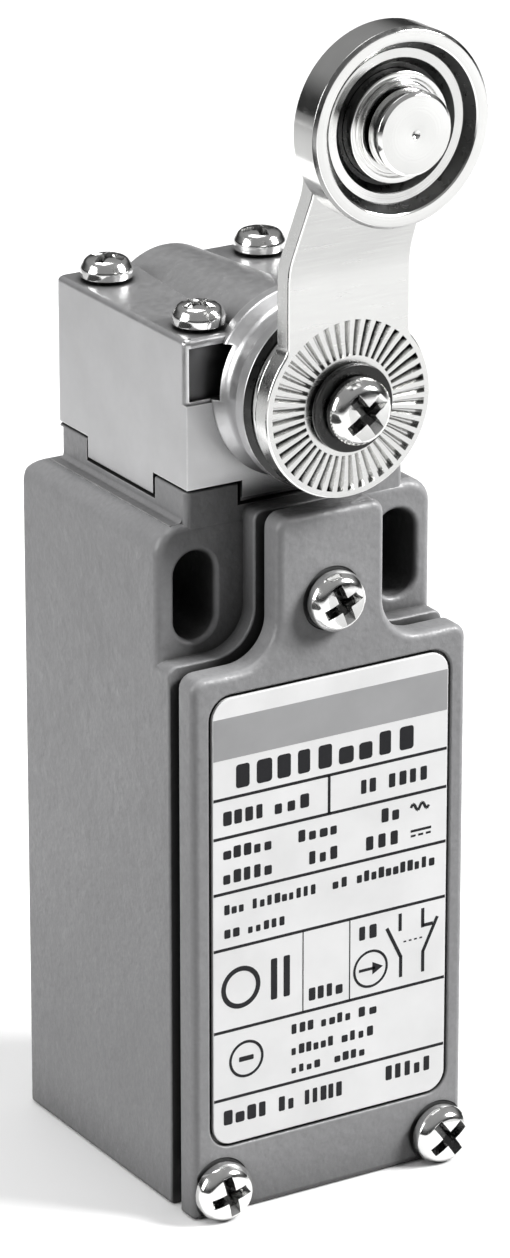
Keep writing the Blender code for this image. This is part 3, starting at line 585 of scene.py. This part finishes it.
def rounded_levels(low, high, round_low, round_high):
    """(inset, level) down a side whose two edges are rounded."""
    levels = [(round_low * (1 - s), low + round_low * (1 - c)) for s, c in quarter(4)]
    levels += [(round_high * (1 - c), high - round_high * (1 - s)) for s, c in quarter(4)]
    return levels


def way_in(radius, face, steps):
    """(inset, level) of a cutter that comes in through a face to -Y and rounds its edge."""
    levels = [(-radius, face - 3.0)]
    return levels + [(-radius * (1 - s), face + radius * (1 - c)) for s, c in quarter(steps)]


def skin(name, loops, look=None, spot=(0.0, 0.0, 0.0), turn=UP):
    """A closed piece over loops of as many points each."""
    shape = bmesh.new()
    loft(shape, loops)
    bmesh.ops.remove_doubles(shape, verts=shape.verts, dist=1e-7)
    return new_piece(name, shape, look, spot, turn)


def slab(name, outline, near, far, round_near=0.0, round_far=0.0, look=None):
    """A plate between two depths along Y. outline(inset) gives its (x, z) points."""
    levels = rounded_levels(near, far, round_near, round_far)
    return skin(name, [[(x, y, z) for x, z in outline(inset)] for inset, y in levels], look)


def tower(name, outline, low, high, round_low=0.0, round_high=0.0, look=None):
    """A plate between two heights along Z. outline(inset) gives its (x, y) points."""
    levels = rounded_levels(low, high, round_low, round_high)
    return skin(name, [[(x, y, z) for x, y in outline(inset)] for inset, z in levels], look)


def block(name, low, high):
    """A plain box, used as a cutter."""
    shape = bmesh.new()
    bmesh.ops.create_cube(shape, size=1.0)
    size = Vector(high) - Vector(low)
    bmesh.ops.scale(shape, vec=size * MM, verts=shape.verts)
    return new_piece(name, shape, None, (Vector(low) + Vector(high)) / 2)


def beam(name, outline, left, right):
    """A plate between two places along X, used as a cutter. Its outline is (y, z)."""
    return skin(name, [[(x, y, z) for y, z in outline] for x in (left, right)])


def lathe(name, profile, spot, turn=FRONT, look=None, steps=96):
    """A turned piece. Its profile is (radius, height) round the local Z axis, through spot."""
    shape = bmesh.new()
    rows = []
    for radius, height in profile:
        if radius < 1e-6:
            rows.append([shape.verts.new((0.0, 0.0, height * MM))])
            continue
        row = []
        for i in range(steps):
            a = 2 * math.pi * i / steps
            place = Vector((radius * math.cos(a), radius * math.sin(a), height))
            row.append(shape.verts.new(place * MM))
        rows.append(row)
    onward = rows[1:] if len(rows[0]) == 1 else rows[1:] + rows[:1]
    for first, second in zip(rows, onward):
        for i in range(steps):
            j = (i + 1) % steps
            if len(first) == 1:
                shape.faces.new((first[0], second[i], second[j]))
            elif len(second) == 1:
                shape.faces.new((first[i], first[j], second[0]))
            else:
                shape.faces.new((first[i], first[j], second[j], second[i]))
    return new_piece(name, shape, look, spot, turn)


def rod(name, radius, spot, low, high, turn=FRONT, steps=48):
    """A plain cylinder, used as a cutter. low and high are heights along its own axis."""
    return lathe(name, [(0, high), (radius, high), (radius, low), (0, low)], spot, turn, None, steps)


def use(piece, operation, *tools):
    """Cuts the tools from the piece or joins them to it."""
    for tool in tools:
        step = piece.modifiers.new(tool.name, "BOOLEAN")
        step.operation = operation
        step.solver = "EXACT"
        step.object = tool
    settle(piece)
    for tool in tools:
        bpy.data.objects.remove(tool, do_unlink=True)


def settle(piece):
    """Applies a piece's modifiers."""
    bpy.context.view_layer.update()
    graph = bpy.context.evaluated_depsgraph_get()
    mesh = bpy.data.meshes.new_from_object(piece.evaluated_get(graph))
    look = piece.data.materials[0] if piece.data.materials else None
    piece.modifiers.clear()
    piece.data = mesh
    mesh.materials.clear()
    if look:
        mesh.materials.append(look)
    mesh.polygons.foreach_set("material_index", [0] * len(mesh.polygons))


def clean(piece):
    """Joins coplanar faces that the cuts have split."""
    shape = bmesh.new()
    shape.from_mesh(piece.data)
    bmesh.ops.remove_doubles(shape, verts=shape.verts, dist=2e-6)
    flat = math.radians(0.5)
    bmesh.ops.dissolve_limit(shape, angle_limit=flat, verts=shape.verts, edges=shape.edges)
    shape.to_mesh(piece.data)
    shape.free()


def blunt(piece, width, angle):
    """Rounds what sharp edges are left."""
    step = piece.modifiers.new("blunt", "BEVEL")
    step.width = width * MM
    step.segments = 2
    step.limit_method = "ANGLE"
    step.angle_limit = math.radians(angle)
    step.use_clamp_overlap = True
    settle(piece)


def hand_over(piece, body, node, angle=32):
    """Shades a finished piece, and lets it ride on its body in place of its CAD node."""
    piece.data.shade_smooth()
    piece.data.set_sharp_from_angle(angle=math.radians(angle))
    weigh = piece.modifiers.new("even_shading", "WEIGHTED_NORMAL")
    weigh.keep_sharp = True
    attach(piece, body)
    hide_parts(node)


def tint(piece, look, *bands):
    """Gives another look to faces of a turned piece. A band is (radii, heights) of their middles."""
    slot = len(piece.data.materials)
    piece.data.materials.append(look)
    for face in piece.data.polygons:
        radius = math.hypot(face.center.x, face.center.y) / MM
        height = face.center.z / MM
        for radii, heights in bands:
            if radii[0] < radius < radii[1] and heights[0] < height < heights[1]:
                face.material_index = slot


# Casing, cover and name plate


def cavity_outline(inset):
    """The wiring space between the walls, passing round the two lower screw posts."""
    spot = middle_of("cover_screw_right")
    half = HALF - WALL - inset
    low = CASING_LOW.z + WALL + inset
    radius = POST + inset
    first = math.degrees(math.acos((half - spot.x) / radius))
    last = 180 + math.degrees(math.asin((spot.z - low) / radius))
    right = arc(spot.x, spot.z, radius, last, first, 16) + [(half, CAVITY_TOP - inset)]
    return mirrored(right)


def make_casing():
    """The die cast body with its ears, collar teeth, slots and threaded cable entry."""

    def body_outline(inset):
        side = HALF - inset
        low, top = CASING_LOW.z + inset, EAR_TOP - inset
        foot = max(0.05, FOOT_CORNER - inset)
        return rounded(-side, low, side, top, EAR_CORNER - inset, foot)

    def rim_outline(inset):
        return keyhole(HALF, CASING_LOW.z, COLLAR_FLOOR - 0.1, NECK_HALF, SHOULDER_Z, inset)

    def collar_outline(inset):
        return square(COLLAR_HALF - inset, 0.6 - inset * 0.5, 4)

    casing = slab("casing_fine", body_outline, EAR_FRONT, 0.0, 0.9, 0.5, ENAMEL)
    rim = slab("rim", rim_outline, CASING_LOW.y, EAR_FRONT + 4.0, 0.25, 0.0)
    collar = tower("collar", collar_outline, 2.0, CASING_HIGH.z, 0.0, 0.25)
    side, wide = COLLAR_HALF, COLLAR_HALF + 1.3
    buried, level, top = EAR_TOP - 0.6, EAR_TOP + 0.02, EAR_TOP + 0.98
    foot = [(wide, buried), (wide, level), (side, level, 1.0), (side, top)]
    foot += [(-side, top), (-side, level, 1.0), (-wide, level), (-wide, buried)]
    foot = soften(foot, steps=6)
    skirt = slab("skirt", lambda inset: foot, EAR_FRONT + 0.9, -1.7)
    use(casing, "UNION", rim, collar, skirt)
    reach = 20.0
    notch = TOOTH_INNER
    back_edge = arc(-BACK_CORNER, EAR_TOP - BACK_CORNER, BACK_CORNER, 0, 90, 8)
    back_edge += [(-BACK_CORNER, EAR_TOP + 3.0), (3.0, EAR_TOP + 3.0), (3.0, EAR_TOP - BACK_CORNER)]
    tools = [
        block("notch_x", (-reach, HEAD_Y - notch, COLLAR_FLOOR), (reach, HEAD_Y + notch, reach)),
        block("notch_y", (-notch, HEAD_Y - reach, COLLAR_FLOOR), (notch, HEAD_Y + reach, reach)),
        slab("cavity", cavity_outline, -reach - 10, -BACK_WALL, 0.0, 0.8),
        beam("back_corner", back_edge, -30.0, 30.0),
        rod("spring_pocket", 5.2, (0.0, HEAD_Y, 0.0), 4.5, reach, UP),
        rod("plunger_bore", 3.6, (0.0, HEAD_Y, 0.0), -12.0, 6.0, UP),
    ]
    x, half, length = SLOT
    for middle in (-x, x):

        def slot_outline(inset):
            size, long = half - inset, length - inset
            return rounded(middle - size, -long, middle + size, long, size - 0.001)

        levels = way_in(0.55, EAR_FRONT, 5) + [(0.0, -0.4), (-0.4, 0.0), (-0.4, 3.0)]
        loops = [[(px, y, pz) for px, pz in slot_outline(inset)] for inset, y in levels]
        tools.append(skin("slot", loops))
    for spot in map(middle_of, COVER_SCREWS):
        tools.append(rod("cover_screw_hole", 1.8, (spot.x, 0.0, spot.z), 18.4, 30.0))
    for spot in map(middle_of, HEAD_SCREWS):
        tools.append(rod("head_screw_hole", HEAD_SCREW_HOLE, (spot.x, spot.y, 0.0), 5.0, reach, UP))
    for spot in map(middle_of, ("block_screw_left", "block_screw_right", "earth_screw")):
        tools.append(rod("inner_hole", 1.5, (spot.x, 0.0, spot.z), 1.0, 4.0, steps=24))
    use(casing, "DIFFERENCE", *tools)
    use(casing, "DIFFERENCE", thread_tool())
    clean(casing)
    blunt(casing, 0.18, 50)
    hand_over(casing, "switch_body", "casing")


def thread_tool():
    """The cable entry's threaded bore, up through the bottom wall."""
    inner, outer, pitch = 9.2, 9.95, 1.5
    per_turn = 6
    half_groove = 0.42  # of the pitch
    steps = 96
    rows = []
    low, high = CASING_LOW.z - 2.0, CASING_LOW.z + WALL + 1.0
    count = int((high - low) / pitch * per_turn)
    shape = bmesh.new()
    for i in range(steps):
        a = 2 * math.pi * i / steps
        row = []
        for k in range(count + 1):
            z = low + (high - low) * k / count
            phase = ((z - low) / pitch - i / steps) % 1.0
            radius = inner + (outer - inner) * max(0.0, 1.0 - abs(phase - 0.5) / half_groove)
            chamfer = outer + 0.5 - abs(z - CASING_LOW.z) if z < CASING_LOW.z + 0.6 else 0.0
            radius = max(radius, chamfer)
            place = Vector((radius * math.cos(a), ENTRY_Y + radius * math.sin(a), z))
            row.append(shape.verts.new(place * MM))
        rows.append(row)
    for i in range(steps):
        first, second = rows[i], rows[(i + 1) % steps]
        for k in range(count):
            shape.faces.new((first[k], second[k], second[k + 1], first[k + 1]))
    shape.faces.new([row[0] for row in rows])
    shape.faces.new([row[-1] for row in rows])
    return new_piece("entry", shape, None)


def make_cover():
    """The front cover, with a recess for the name plate and a countersink for each screw."""

    def outline(inset):
        return keyhole(HALF, COVER_LOW.z, COVER_HIGH.z, NECK_HALF, SHOULDER_Z, inset, 1.4)

    cover = slab("front_cover_fine", outline, COVER_LOW.y, COVER_HIGH.y, 0.75, 0.2, ENAMEL)
    levels = way_in(0.25, COVER_LOW.y, 4) + [(0.0, PLATE_HIGH.y + 0.3)]
    loops = [[(x, y, z) for x, z in plate_outline(inset - 0.3)] for inset, y in levels]
    tools = [skin("plate_recess", loops)]
    front = -COVER_LOW.y
    seat = front - 0.13
    profile = [(0, front + 2), (3.15, front + 2), (3.15, front), (3.02, seat)]
    profile += [(1.8, seat), (1.8, front - 6), (0, front - 6)]
    for spot in map(middle_of, COVER_SCREWS):
        tools.append(lathe("screw_way", profile, (spot.x, 0.0, spot.z), FRONT, None, 64))
    use(cover, "DIFFERENCE", *tools)
    clean(cover)
    hand_over(cover, "switch_body", "front_cover")


def make_gasket():
    """The dark seal in the seam between the cover and the casing."""
    half, low, high = GASKET_HIGH.x, GASKET_LOW.z, GASKET_HIGH.z
    drawn_in = 0.8

    def outline(inset):
        return keyhole(half, low, high, NECK_HALF - drawn_in, SHOULDER_Z - drawn_in, inset)

    seal = slab("cover_gasket_fine", outline, GASKET_LOW.y, GASKET_HIGH.y, 0.3, 0.3, LOOKS["rubber"])
    tools = [slab("inside", lambda inset: cavity_outline(0.5), -40.0, -20.0)]
    for spot in map(middle_of, COVER_SCREWS):
        tools.append(rod("screw_way", 2.1, (spot.x, 0.0, spot.z), 20.0, 40.0))
    use(seal, "DIFFERENCE", *tools)
    hand_over(seal, "switch_body", "cover_gasket")


class Print:
    """Flat marks a hair proud of the name plate, drawn as (x, z) in millimetres."""

    def __init__(self, name, look, proud):
        self.name = name
        self.look = look
        self.front = PLATE_LOW.y - proud
        self.back = PLATE_LOW.y + 0.02
        self.shape = bmesh.new()

    def patch(self, points):
        """A filled outline."""
        loft(self.shape, [[(x, y, z) for x, z in points] for y in (self.front, self.back)])

    def bar(self, left, low, right, high):
        self.patch(rounded(left, low, right, high, min(right - left, high - low) * 0.2, steps=3))

    def line(self, start, end, width):
        """A straight stroke with square ends."""
        start, end = Vector(start), Vector(end)
        side = (end - start).normalized().orthogonal() * width / 2
        self.patch([start + side, start - side, end - side, end + side])

    def ring(self, x, z, radius, width):
        """A circle's outline."""
        steps = 40
        front, back = self.front, self.back
        inner = radius - width
        rows = []
        for r, y in ((radius, front), (radius, back), (inner, back), (inner, front)):
            points = arc(x, z, r, 0, 360 * (steps - 1) / steps, steps - 1)
            rows.append([self.shape.verts.new(Vector((px, y, pz)) * MM) for px, pz in points])
        for first, second in zip(rows, rows[1:] + rows[:1]):
            for i in range(steps):
                j = (i + 1) % steps
                self.shape.faces.new((first[i], first[j], second[j], second[i]))

    def words(self, left, low, right, high, count):
        """A row of plain blocks standing for small print, as many as it has signs."""
        pitch = (right - left) / count
        for i in range(count):
            wide = pitch * random.uniform(0.55, 0.78)
            tall = (high - low) * random.choice((0.72, 1.0, 1.0))
            start = left + pitch * i
            self.bar(start, low, start + wide, low + tall)

    def done(self):
        piece = new_piece(self.name, self.shape, self.look)
        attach(piece, "switch_body")


def make_name_plate():
    """The name plate: white film with a grey band, ruled rows and plain marks."""
    front, back = PLATE_LOW.y, PLATE_HIGH.y
    plate = slab("name_plate_fine", plate_outline, front, back, 0.08, 0.0, LOOKS["label"])
    hand_over(plate, "switch_body", "name_plate")
    left, right = PLATE_LOW.x + 0.1, PLATE_HIGH.x - 0.1
    band = Print("plate_band", GREY_INK, 0.010)
    band.patch([(left, -14.0), (right, -14.0), (right, -9.9), (left, -9.9)])
    band.done()
    marks = Print("plate_marks", INK, 0.012)
    rules = (-17.9, -21.8, -27.4, -33.1, -41.5, -48.5)
    for z in rules:
        marks.line((left, z), (right, z), 0.30)
    marks.line((-0.23, rules[0]), (-0.23, rules[1]), 0.30)
    marks.line((-3.05, rules[3]), (-3.05, rules[4]), 0.12)
    marks.line((2.15, rules[3]), (2.15, rules[4]), 0.12)
    # Rows of small print, as left, low, right, high and the number of signs
    rows = (
        (-10.4, -17.1, 9.8, -14.75, 9),
        (-11.8, -20.6, -7.0, -19.2, 4),
        (-6.2, -20.6, -2.0, -19.2, 3),
        (3.3, -20.6, 5.2, -19.2, 2),
        (6.4, -20.6, 11.1, -19.2, 4),
        (-11.8, -24.0, -6.2, -22.8, 5),
        (-3.6, -24.0, 1.1, -22.8, 4),
        (5.6, -24.0, 8.0, -22.6, 2),
        (-11.8, -26.5, -6.2, -25.2, 5),
        (-2.4, -26.5, 1.1, -25.2, 3),
        (3.9, -26.5, 8.0, -25.1, 3),
        (-11.7, -29.6, -9.3, -28.6, 3),
        (-8.6, -29.6, -1.4, -28.6, 9),
        (0.2, -29.6, 2.2, -28.6, 2),
        (2.9, -29.6, 11.8, -28.5, 11),
        (-11.7, -32.0, -9.8, -31.1, 2),
        (-9.1, -32.0, -4.8, -31.1, 5),
        (-2.4, -40.5, 1.6, -39.2, 4),
        (-4.3, -43.5, -1.6, -42.5, 3),
        (-1.0, -43.5, 2.6, -42.5, 4),
        (3.2, -43.5, 5.6, -42.5, 2),
        (-4.3, -45.7, 0.6, -44.7, 6),
        (1.3, -45.7, 5.1, -44.7, 4),
        (-4.3, -47.6, -0.9, -46.8, 4),
        (0.5, -47.6, 4.2, -46.7, 4),
        (-11.8, -51.2, -6.6, -49.7, 4),
        (-5.7, -51.2, -3.6, -49.7, 2),
        (-2.8, -51.2, 1.6, -49.7, 5),
        (6.3, -50.9, 11.7, -49.4, 5),
        (3.2, -35.6, 5.5, -34.2, 2),
    )
    for row in rows:
        marks.words(*row)
    # A wave and a double line for the two kinds of current
    wave = [(8.9 + 0.1 * k, -23.2 + 0.35 * math.sin(k * 0.62)) for k in range(21)]
    for start, end in zip(wave, wave[1:]):
        marks.line(start, end, 0.30)
    marks.line((8.9, -25.6), (11.2, -25.6), 0.26)
    for start in (8.9, 9.75, 10.6):
        marks.line((start, -26.1), (start + 0.55, -26.1), 0.22)
    # Plain marks in place of the approval marks
    marks.ring(-9.9, -37.3, 2.15, 0.50)
    marks.bar(-6.6, -39.4, -5.9, -35.2)
    marks.bar(-5.2, -39.4, -4.5, -35.2)
    marks.ring(-9.3, -44.8, 1.9, 0.28)
    marks.bar(-10.1, -45.0, -8.5, -44.5)
    # An arrow in a ring, then one closed and one open contact pair
    marks.ring(4.5, -38.75, 1.95, 0.26)
    marks.line((3.2, -38.75), (5.0, -38.75), 0.30)
    marks.patch([(4.7, -38.1), (5.9, -38.75), (4.7, -39.4)])
    for stroke in (
        ((7.8, -33.8), (7.8, -35.6)),
        ((6.3, -35.0), (7.9, -38.3)),
        ((7.9, -38.2), (7.9, -40.4)),
        ((10.35, -33.8), (10.35, -35.8)),
        ((10.35, -35.6), (11.5, -35.6)),
        ((12.0, -35.0), (10.4, -38.3)),
        ((10.4, -38.2), (10.4, -40.4)),
    ):
        marks.line(*stroke, 0.36)
    for k in range(4):
        marks.line((8.2 + 0.6 * k, -36.8), (8.5 + 0.6 * k, -36.8), 0.16)
    marks.done()


# Screws


def cross_tool(name, spot, turn, head, height, spin):
    """A cross recess that tapers as it goes in."""

    def cross(reach, width):
        points = []
        for k in range(4):
            a = math.pi / 2 * k + spin
            along = Vector((math.cos(a), math.sin(a)))
            aside = Vector((-along.y, along.x)) * width
            inner, outer = along * width, along * reach
            points += [inner - aside, outer - aside, outer + aside]
        return points

    levels = (
        (0.84, 0.190, 1.4 * height),
        (0.76, 0.175, 1.0 * height),
        (0.50, 0.150, 0.55 * height),
        (0.26, 0.120, 0.18 * height),
    )
    loops = [[(*p, z) for p in cross(reach * head, width * head)] for reach, width, z in levels]
    return skin(name, loops, None, spot, turn)


def make_screw(node, body, turn, size, spin):
    """A plated pan head screw with a cross recess, on its CAD node's axis."""
    head, height, shank = size
    spot, bottom, top = along_axis(node, turn)
    seat = top - height
    profile = [
        (0.0, top),
        (0.45 * head, seat + 0.985 * height),
        (0.80 * head, seat + 0.88 * height, 0.35 * head),
        (head, seat + 0.42 * height, 0.30 * head),
        (head, seat, 0.12),
        (shank, seat),
        (shank, bottom + 0.4),
        (shank - 0.4, bottom),
        (0.0, bottom),
    ]
    piece = lathe(node + "_fine", soften(profile, closed=False, steps=6), spot, turn, BRIGHT, 72)
    offset = Vector((0.0, 0.0, seat))
    offset.rotate(piece.rotation_euler)
    use(piece, "DIFFERENCE", cross_tool("recess", Vector(spot) + offset, turn, head, height, spin))
    blunt(piece, 0.045, 45)
    # Painted shade: the cross recess gets a dark look
    tint(piece, RECESS, ((0.0, 0.78 * head), (seat + 0.05 * height, seat + 0.82 * height)))
    hand_over(piece, body, node)


def make_screws():
    """All the screws that show, their crosses turned at random."""
    random.seed(4)
    for node in COVER_SCREWS:
        make_screw(node, "switch_body", FRONT, COVER_SCREW, random.uniform(0.1, 1.4))
    for node in HEAD_SCREWS:
        make_screw(node, "switch_body", UP, HEAD_SCREW, random.uniform(0.1, 1.4))
    make_screw("lever_screw", "lever", FRONT, LEVER_SCREW, 0.65)


# Head, shaft, lever and roller


def tint_head(head):
    """Gives the flange's front, in the lever's shadow, and the front recess dark looks as painted
    shade.
    """
    head.data.materials.append(SHADOW_STEEL)
    head.data.materials.append(SHADED)
    dark, shaded = 1, 2
    for face in head.data.polygons:
        place = face.center / MM
        radius = math.hypot(place.x, place.z - AXIS_Z)
        if place.y < HEAD_LOW.y + 0.42 and radius < FLANGE - 0.03:
            face.material_index = dark
        if abs(place.y - RECESS_Y) < 0.05 and place.z > RECESS_LOW:
            face.material_index = shaded


def make_head():
    """The cast head: a block, a tapering barrel with a boss, and a flared flange."""
    base = COLLAR_FLOOR + 0.3
    face = HEAD_Y - HEAD_HALF

    def outline(inset):
        return square(HEAD_HALF - inset, 0.7 - inset * 0.6, 5)

    head = tower("head_housing_fine", outline, base, HEAD_TOP, 0.2, 0.55, ZINC)
    front = -HEAD_LOW.y
    barrel = [
        (0.0, front),
        (8.4, front, 0.15),
        (FLANGE, front - 0.45, 0.15),
        (FLANGE, front - 1.75, 0.20),
        (8.3, front - 2.5, 0.8),
        (8.3, front - 4.1, 1.2),
        (9.25, front - 5.4, 0.5),
        (9.25, front - 6.5),
        (8.2, front - 6.5),
        (6.8, 1.8, 0.3),
        (6.5, 1.5, 0.3),
        (0.0, 1.5),
    ]
    step = block("step", (-HEAD_HALF, face - 0.3, base + 0.5), (HEAD_HALF, HEAD_Y, 18.6))
    use(head, "UNION", lathe("barrel", soften(barrel, closed=False, steps=5), HUB), step)
    inner = TOOTH_INNER - 0.3
    reach = 16.0
    tools = []
    for sx in (-1, 1):
        left, right = sorted((sx * (HEAD_HALF - 0.45), sx * 6.0))
        low = (left, face - 1.0, RECESS_LOW)
        tools.append(block("front_recess", low, (right, RECESS_Y, HEAD_TOP - 0.8)))
    for sx in (-1, 1):
        for sy in (-1, 1):
            xs = sorted((sx * inner, sx * reach))
            ys = sorted((HEAD_Y + sy * inner, HEAD_Y + sy * reach))
            high = (xs[1], ys[1], CASING_HIGH.z + 0.3)
            tools.append(block("tooth_space", (xs[0], ys[0], 0.0), high))
    tools += [
        rod("shaft_bore", 5.6, HUB, 5.0, 35.0),
        rod("pilot_bore", 2.3, HUB, 2.9, 7.0),
        rod("follower_well", 5.0, (0.0, HEAD_Y, 0.0), 0.0, AXIS_Z, UP),
    ]
    for spot in map(middle_of, HEAD_SCREWS):
        tools.append(rod("screw_way", HEAD_SCREW_HOLE, (spot.x, spot.y, 0.0), 5.0, 30.0, UP, 32))
    use(head, "DIFFERENCE", *tools)
    clean(head)
    blunt(head, 0.15, 50)
    # Painted shade on the flange's front and on the front recess
    tint_head(head)
    hand_over(head, "switch_body", "head_housing")


def radial_cuts(name, inner, outer, half, depth, level, spin=0.0):
    """V grooves like a clock's marks round the hub, cut down from a level along its axis."""
    shape = bmesh.new()
    for i in range(TEETH):
        a = 2 * math.pi * i / TEETH + spin
        along = Vector((math.cos(a), math.sin(a), 0.0))
        aside = Vector((-along.y, along.x, 0.0))
        over = depth * 0.5
        ends = []
        for radius, wide in ((inner, half * inner / outer), (outer, half)):
            top = along * radius + Vector((0.0, 0.0, level + over))
            bottom = along * radius + Vector((0.0, 0.0, level - depth))
            at_top = aside * (wide * (1 + over / depth))
            at_bottom = aside * wide * 0.25
            ends.append([top + at_top, top - at_top, bottom - at_bottom, bottom + at_bottom])
        loft(shape, ends)
    return new_piece(name, shape, None, HUB, FRONT)


def make_shaft():
    """The shaft with the toothed disc that the lever's serrations grip."""
    front, back = -SHAFT_LOW.y, -SHAFT_HIGH.y
    profile = [
        (HUB_HOLE, front, 0.1),
        (DISC, front, 0.12),
        (DISC, front - 0.7, 0.12),
        (3.0, front - 0.7),
        (3.0, 18.4, 0.2),
        (2.0, 18.4),
        (2.0, back, 0.3),
        (0.001, back),
        (0.001, 22.6),
        (HUB_HOLE, 22.6),
    ]
    shaft = lathe("shaft_fine", soften(profile), HUB, FRONT, TURNED)
    use(shaft, "DIFFERENCE", radial_cuts("teeth", 4.8, 8.4, 0.26, 0.3, front))
    hand_over(shaft, "lever", "shaft")


def joggle(z):
    """How far forward the lever stands at a height: a straight rise with soft bends."""

    def bend(t, soft=1.3):
        if t <= -soft:
            return 0.0
        if t >= soft:
            return t
        return (t + soft) ** 2 / (4 * soft)

    slope = JOGGLE / (JOGGLE_HIGH - JOGGLE_LOW)
    return slope * (bend(z - JOGGLE_LOW) - bend(z - JOGGLE_HIGH))


def lever_outline(inset):
    """The lever from the front: a round hub, small fillets, straight sides and a rounded tip."""
    hub = LEVER_HUB - inset
    fillet = LEVER_FILLET + inset
    half = LEVER_HALF - inset
    side = LEVER_HALF + LEVER_FILLET
    rise = math.sqrt((LEVER_HUB + LEVER_FILLET) ** 2 - side**2)
    angle = math.degrees(math.atan2(rise, side))
    right = arc(0.0, AXIS_Z, hub, -90, angle, 40)
    right += arc(side, AXIS_Z + rise, fillet, angle + 180, 180, 6)
    right += [(half, JOGGLE_LOW)]
    right += arc(0.0, ROLLER_Z, LEVER_TIP - inset, 0, 90, 16)
    return mirrored(right)


def make_lever():
    """The cranked steel lever, serrated round its hub."""
    near, far = LEVER_HIGH.y - LEVER_THICK, LEVER_HIGH.y
    lever = slab("lever_arm_fine", lever_outline, near, far, 0.22, 0.22, ROLLED)
    shape = bmesh.new()
    shape.from_mesh(lever.data)
    cuts, pitch = 30, 0.42
    for k in range(cuts):
        z = JOGGLE_LOW - 2.0 + pitch * k
        parts = list(shape.verts) + list(shape.edges) + list(shape.faces)
        bmesh.ops.bisect_plane(shape, geom=parts, plane_co=(0, 0, z * MM), plane_no=(0, 0, 1))
    for vert in shape.verts:
        vert.co.y -= joggle(vert.co.z / MM) * MM
    shape.to_mesh(lever.data)
    shape.free()
    tools = [
        rod("hub_hole", HUB_HOLE, HUB, 20.0, 50.0),
        rod("axle_hole", AXLE_HOLE, ROLLER_SPOT, 20.0, 50.0),
        radial_cuts("serration", 4.75, 8.15, 0.30, 0.50, -near, 0.03),
    ]
    use(lever, "DIFFERENCE", *tools)
    hand_over(lever, "lever", "lever_arm", angle=28)


def make_washer(node, inner, outer, soft, look):
    """A ring with soft edges between its CAD node's two faces."""
    spot, bottom, top = along_axis(node, FRONT)
    corners = ((inner, top), (outer, top), (outer, bottom), (inner, bottom))
    profile = soften([(*corner, soft) for corner in corners])
    piece = lathe(node + "_fine", profile, spot, FRONT, look, 72)
    hand_over(piece, "lever", node)


def make_roller():
    """The dished roller: a broad lip, a sloping wall, and shallow rings round its bush."""
    front, back = -ROLLER_LOW.y, -ROLLER_HIGH.y
    profile = [
        (5.15, front - 1.9),
        (5.55, front - 1.9, 0.05),
        (6.15, front - 1.15, 0.12),
        (7.10, front - 1.10, 0.12),
        (7.80, front - 0.10, 0.10),
        (7.95, front, 0.08),
        (8.90, front, 0.12),
        (9.20, front - 0.32, 0.12),
        (9.20, back + 0.35, 0.2),
        (8.90, back, 0.2),
        (5.15, back),
    ]
    roller = lathe("roller_fine", soften(profile, steps=5), ROLLER_SPOT, FRONT, TURNED, 128)
    # Painted shade: dark steel in the groove round the bush and on the sloping wall, and a dark line
    # on the outer rim
    tint(roller, SHADOW_STEEL, ((5.1, 6.3), (0.0, front - 1.13)), ((7.05, 7.85), (0.0, front - 0.05)))
    tint(roller, RIM_SHADE, ((9.03, 9.19), (front - 0.6, front)))
    hand_over(roller, "roller", "roller")
    low, high = box_mm("roller_bush")
    front, back = -low.y, -high.y
    profile = [
        (AXLE_HOLE, front + 0.30),
        (4.15, front + 0.30, 0.10),
        (4.25, front - 0.20, 0.05),
        (4.45, front - 0.20, 0.05),
        (4.55, front, 0.08),
        (5.10, front, 0.12),
        (5.10, back, 0.1),
        (AXLE_HOLE, back, 0.1),
    ]
    bush = lathe("roller_bush_fine", soften(profile), ROLLER_SPOT, FRONT, UNSHADED)
    hand_over(bush, "roller", "roller_bush")


def make_axle():
    """The riveted axle, with a broad polished head that has a centre mark."""
    low, high = box_mm("roller_axle")
    front, back = -low.y, -high.y
    seat = front - 1.9
    lever_back = -(LEVER_HIGH.y - JOGGLE)
    profile = [
        (0.0, front - 0.55),
        (0.42, front, 0.05),
        (3.55, front, 0.08),
        (3.85, front - 0.28, 0.10),
        (3.85, seat + 0.15, 0.1),
        (3.70, seat, 0.05),
        (2.5, seat),
        (2.5, lever_back - 0.3),
        (3.6, lever_back - 0.3, 0.2),
        (3.2, back, 0.4),
        (0.0, back),
    ]
    axle = lathe("roller_axle_fine", soften(profile, closed=False), ROLLER_SPOT, FRONT, TURNED)
    hand_over(axle, "lever", "roller_axle")


make_casing()
make_cover()
make_gasket()
random.seed(11)
make_name_plate()
make_screws()
make_head()
make_shaft()
make_lever()
# The hub washer is painted near black, standing for the shade round the lever screw's head
make_washer("lever_washer", HUB_HOLE, 4.2, 0.18, SHADOW_STEEL)
make_washer("axle_washer", AXLE_HOLE, 4.6, 0.1, LOOKS["spring_steel"])
make_roller()
make_axle()

# The CAD nodes that stay get their slot's procedural material
for node, piece in frame["nodes"].items():
    if piece.hide_render:
        continue
    name = piece.material_slots[0].material.name
    slot = next(s for s in LOOKS if s in name)
    piece.material_slots[0].material = LOOKS[slot]
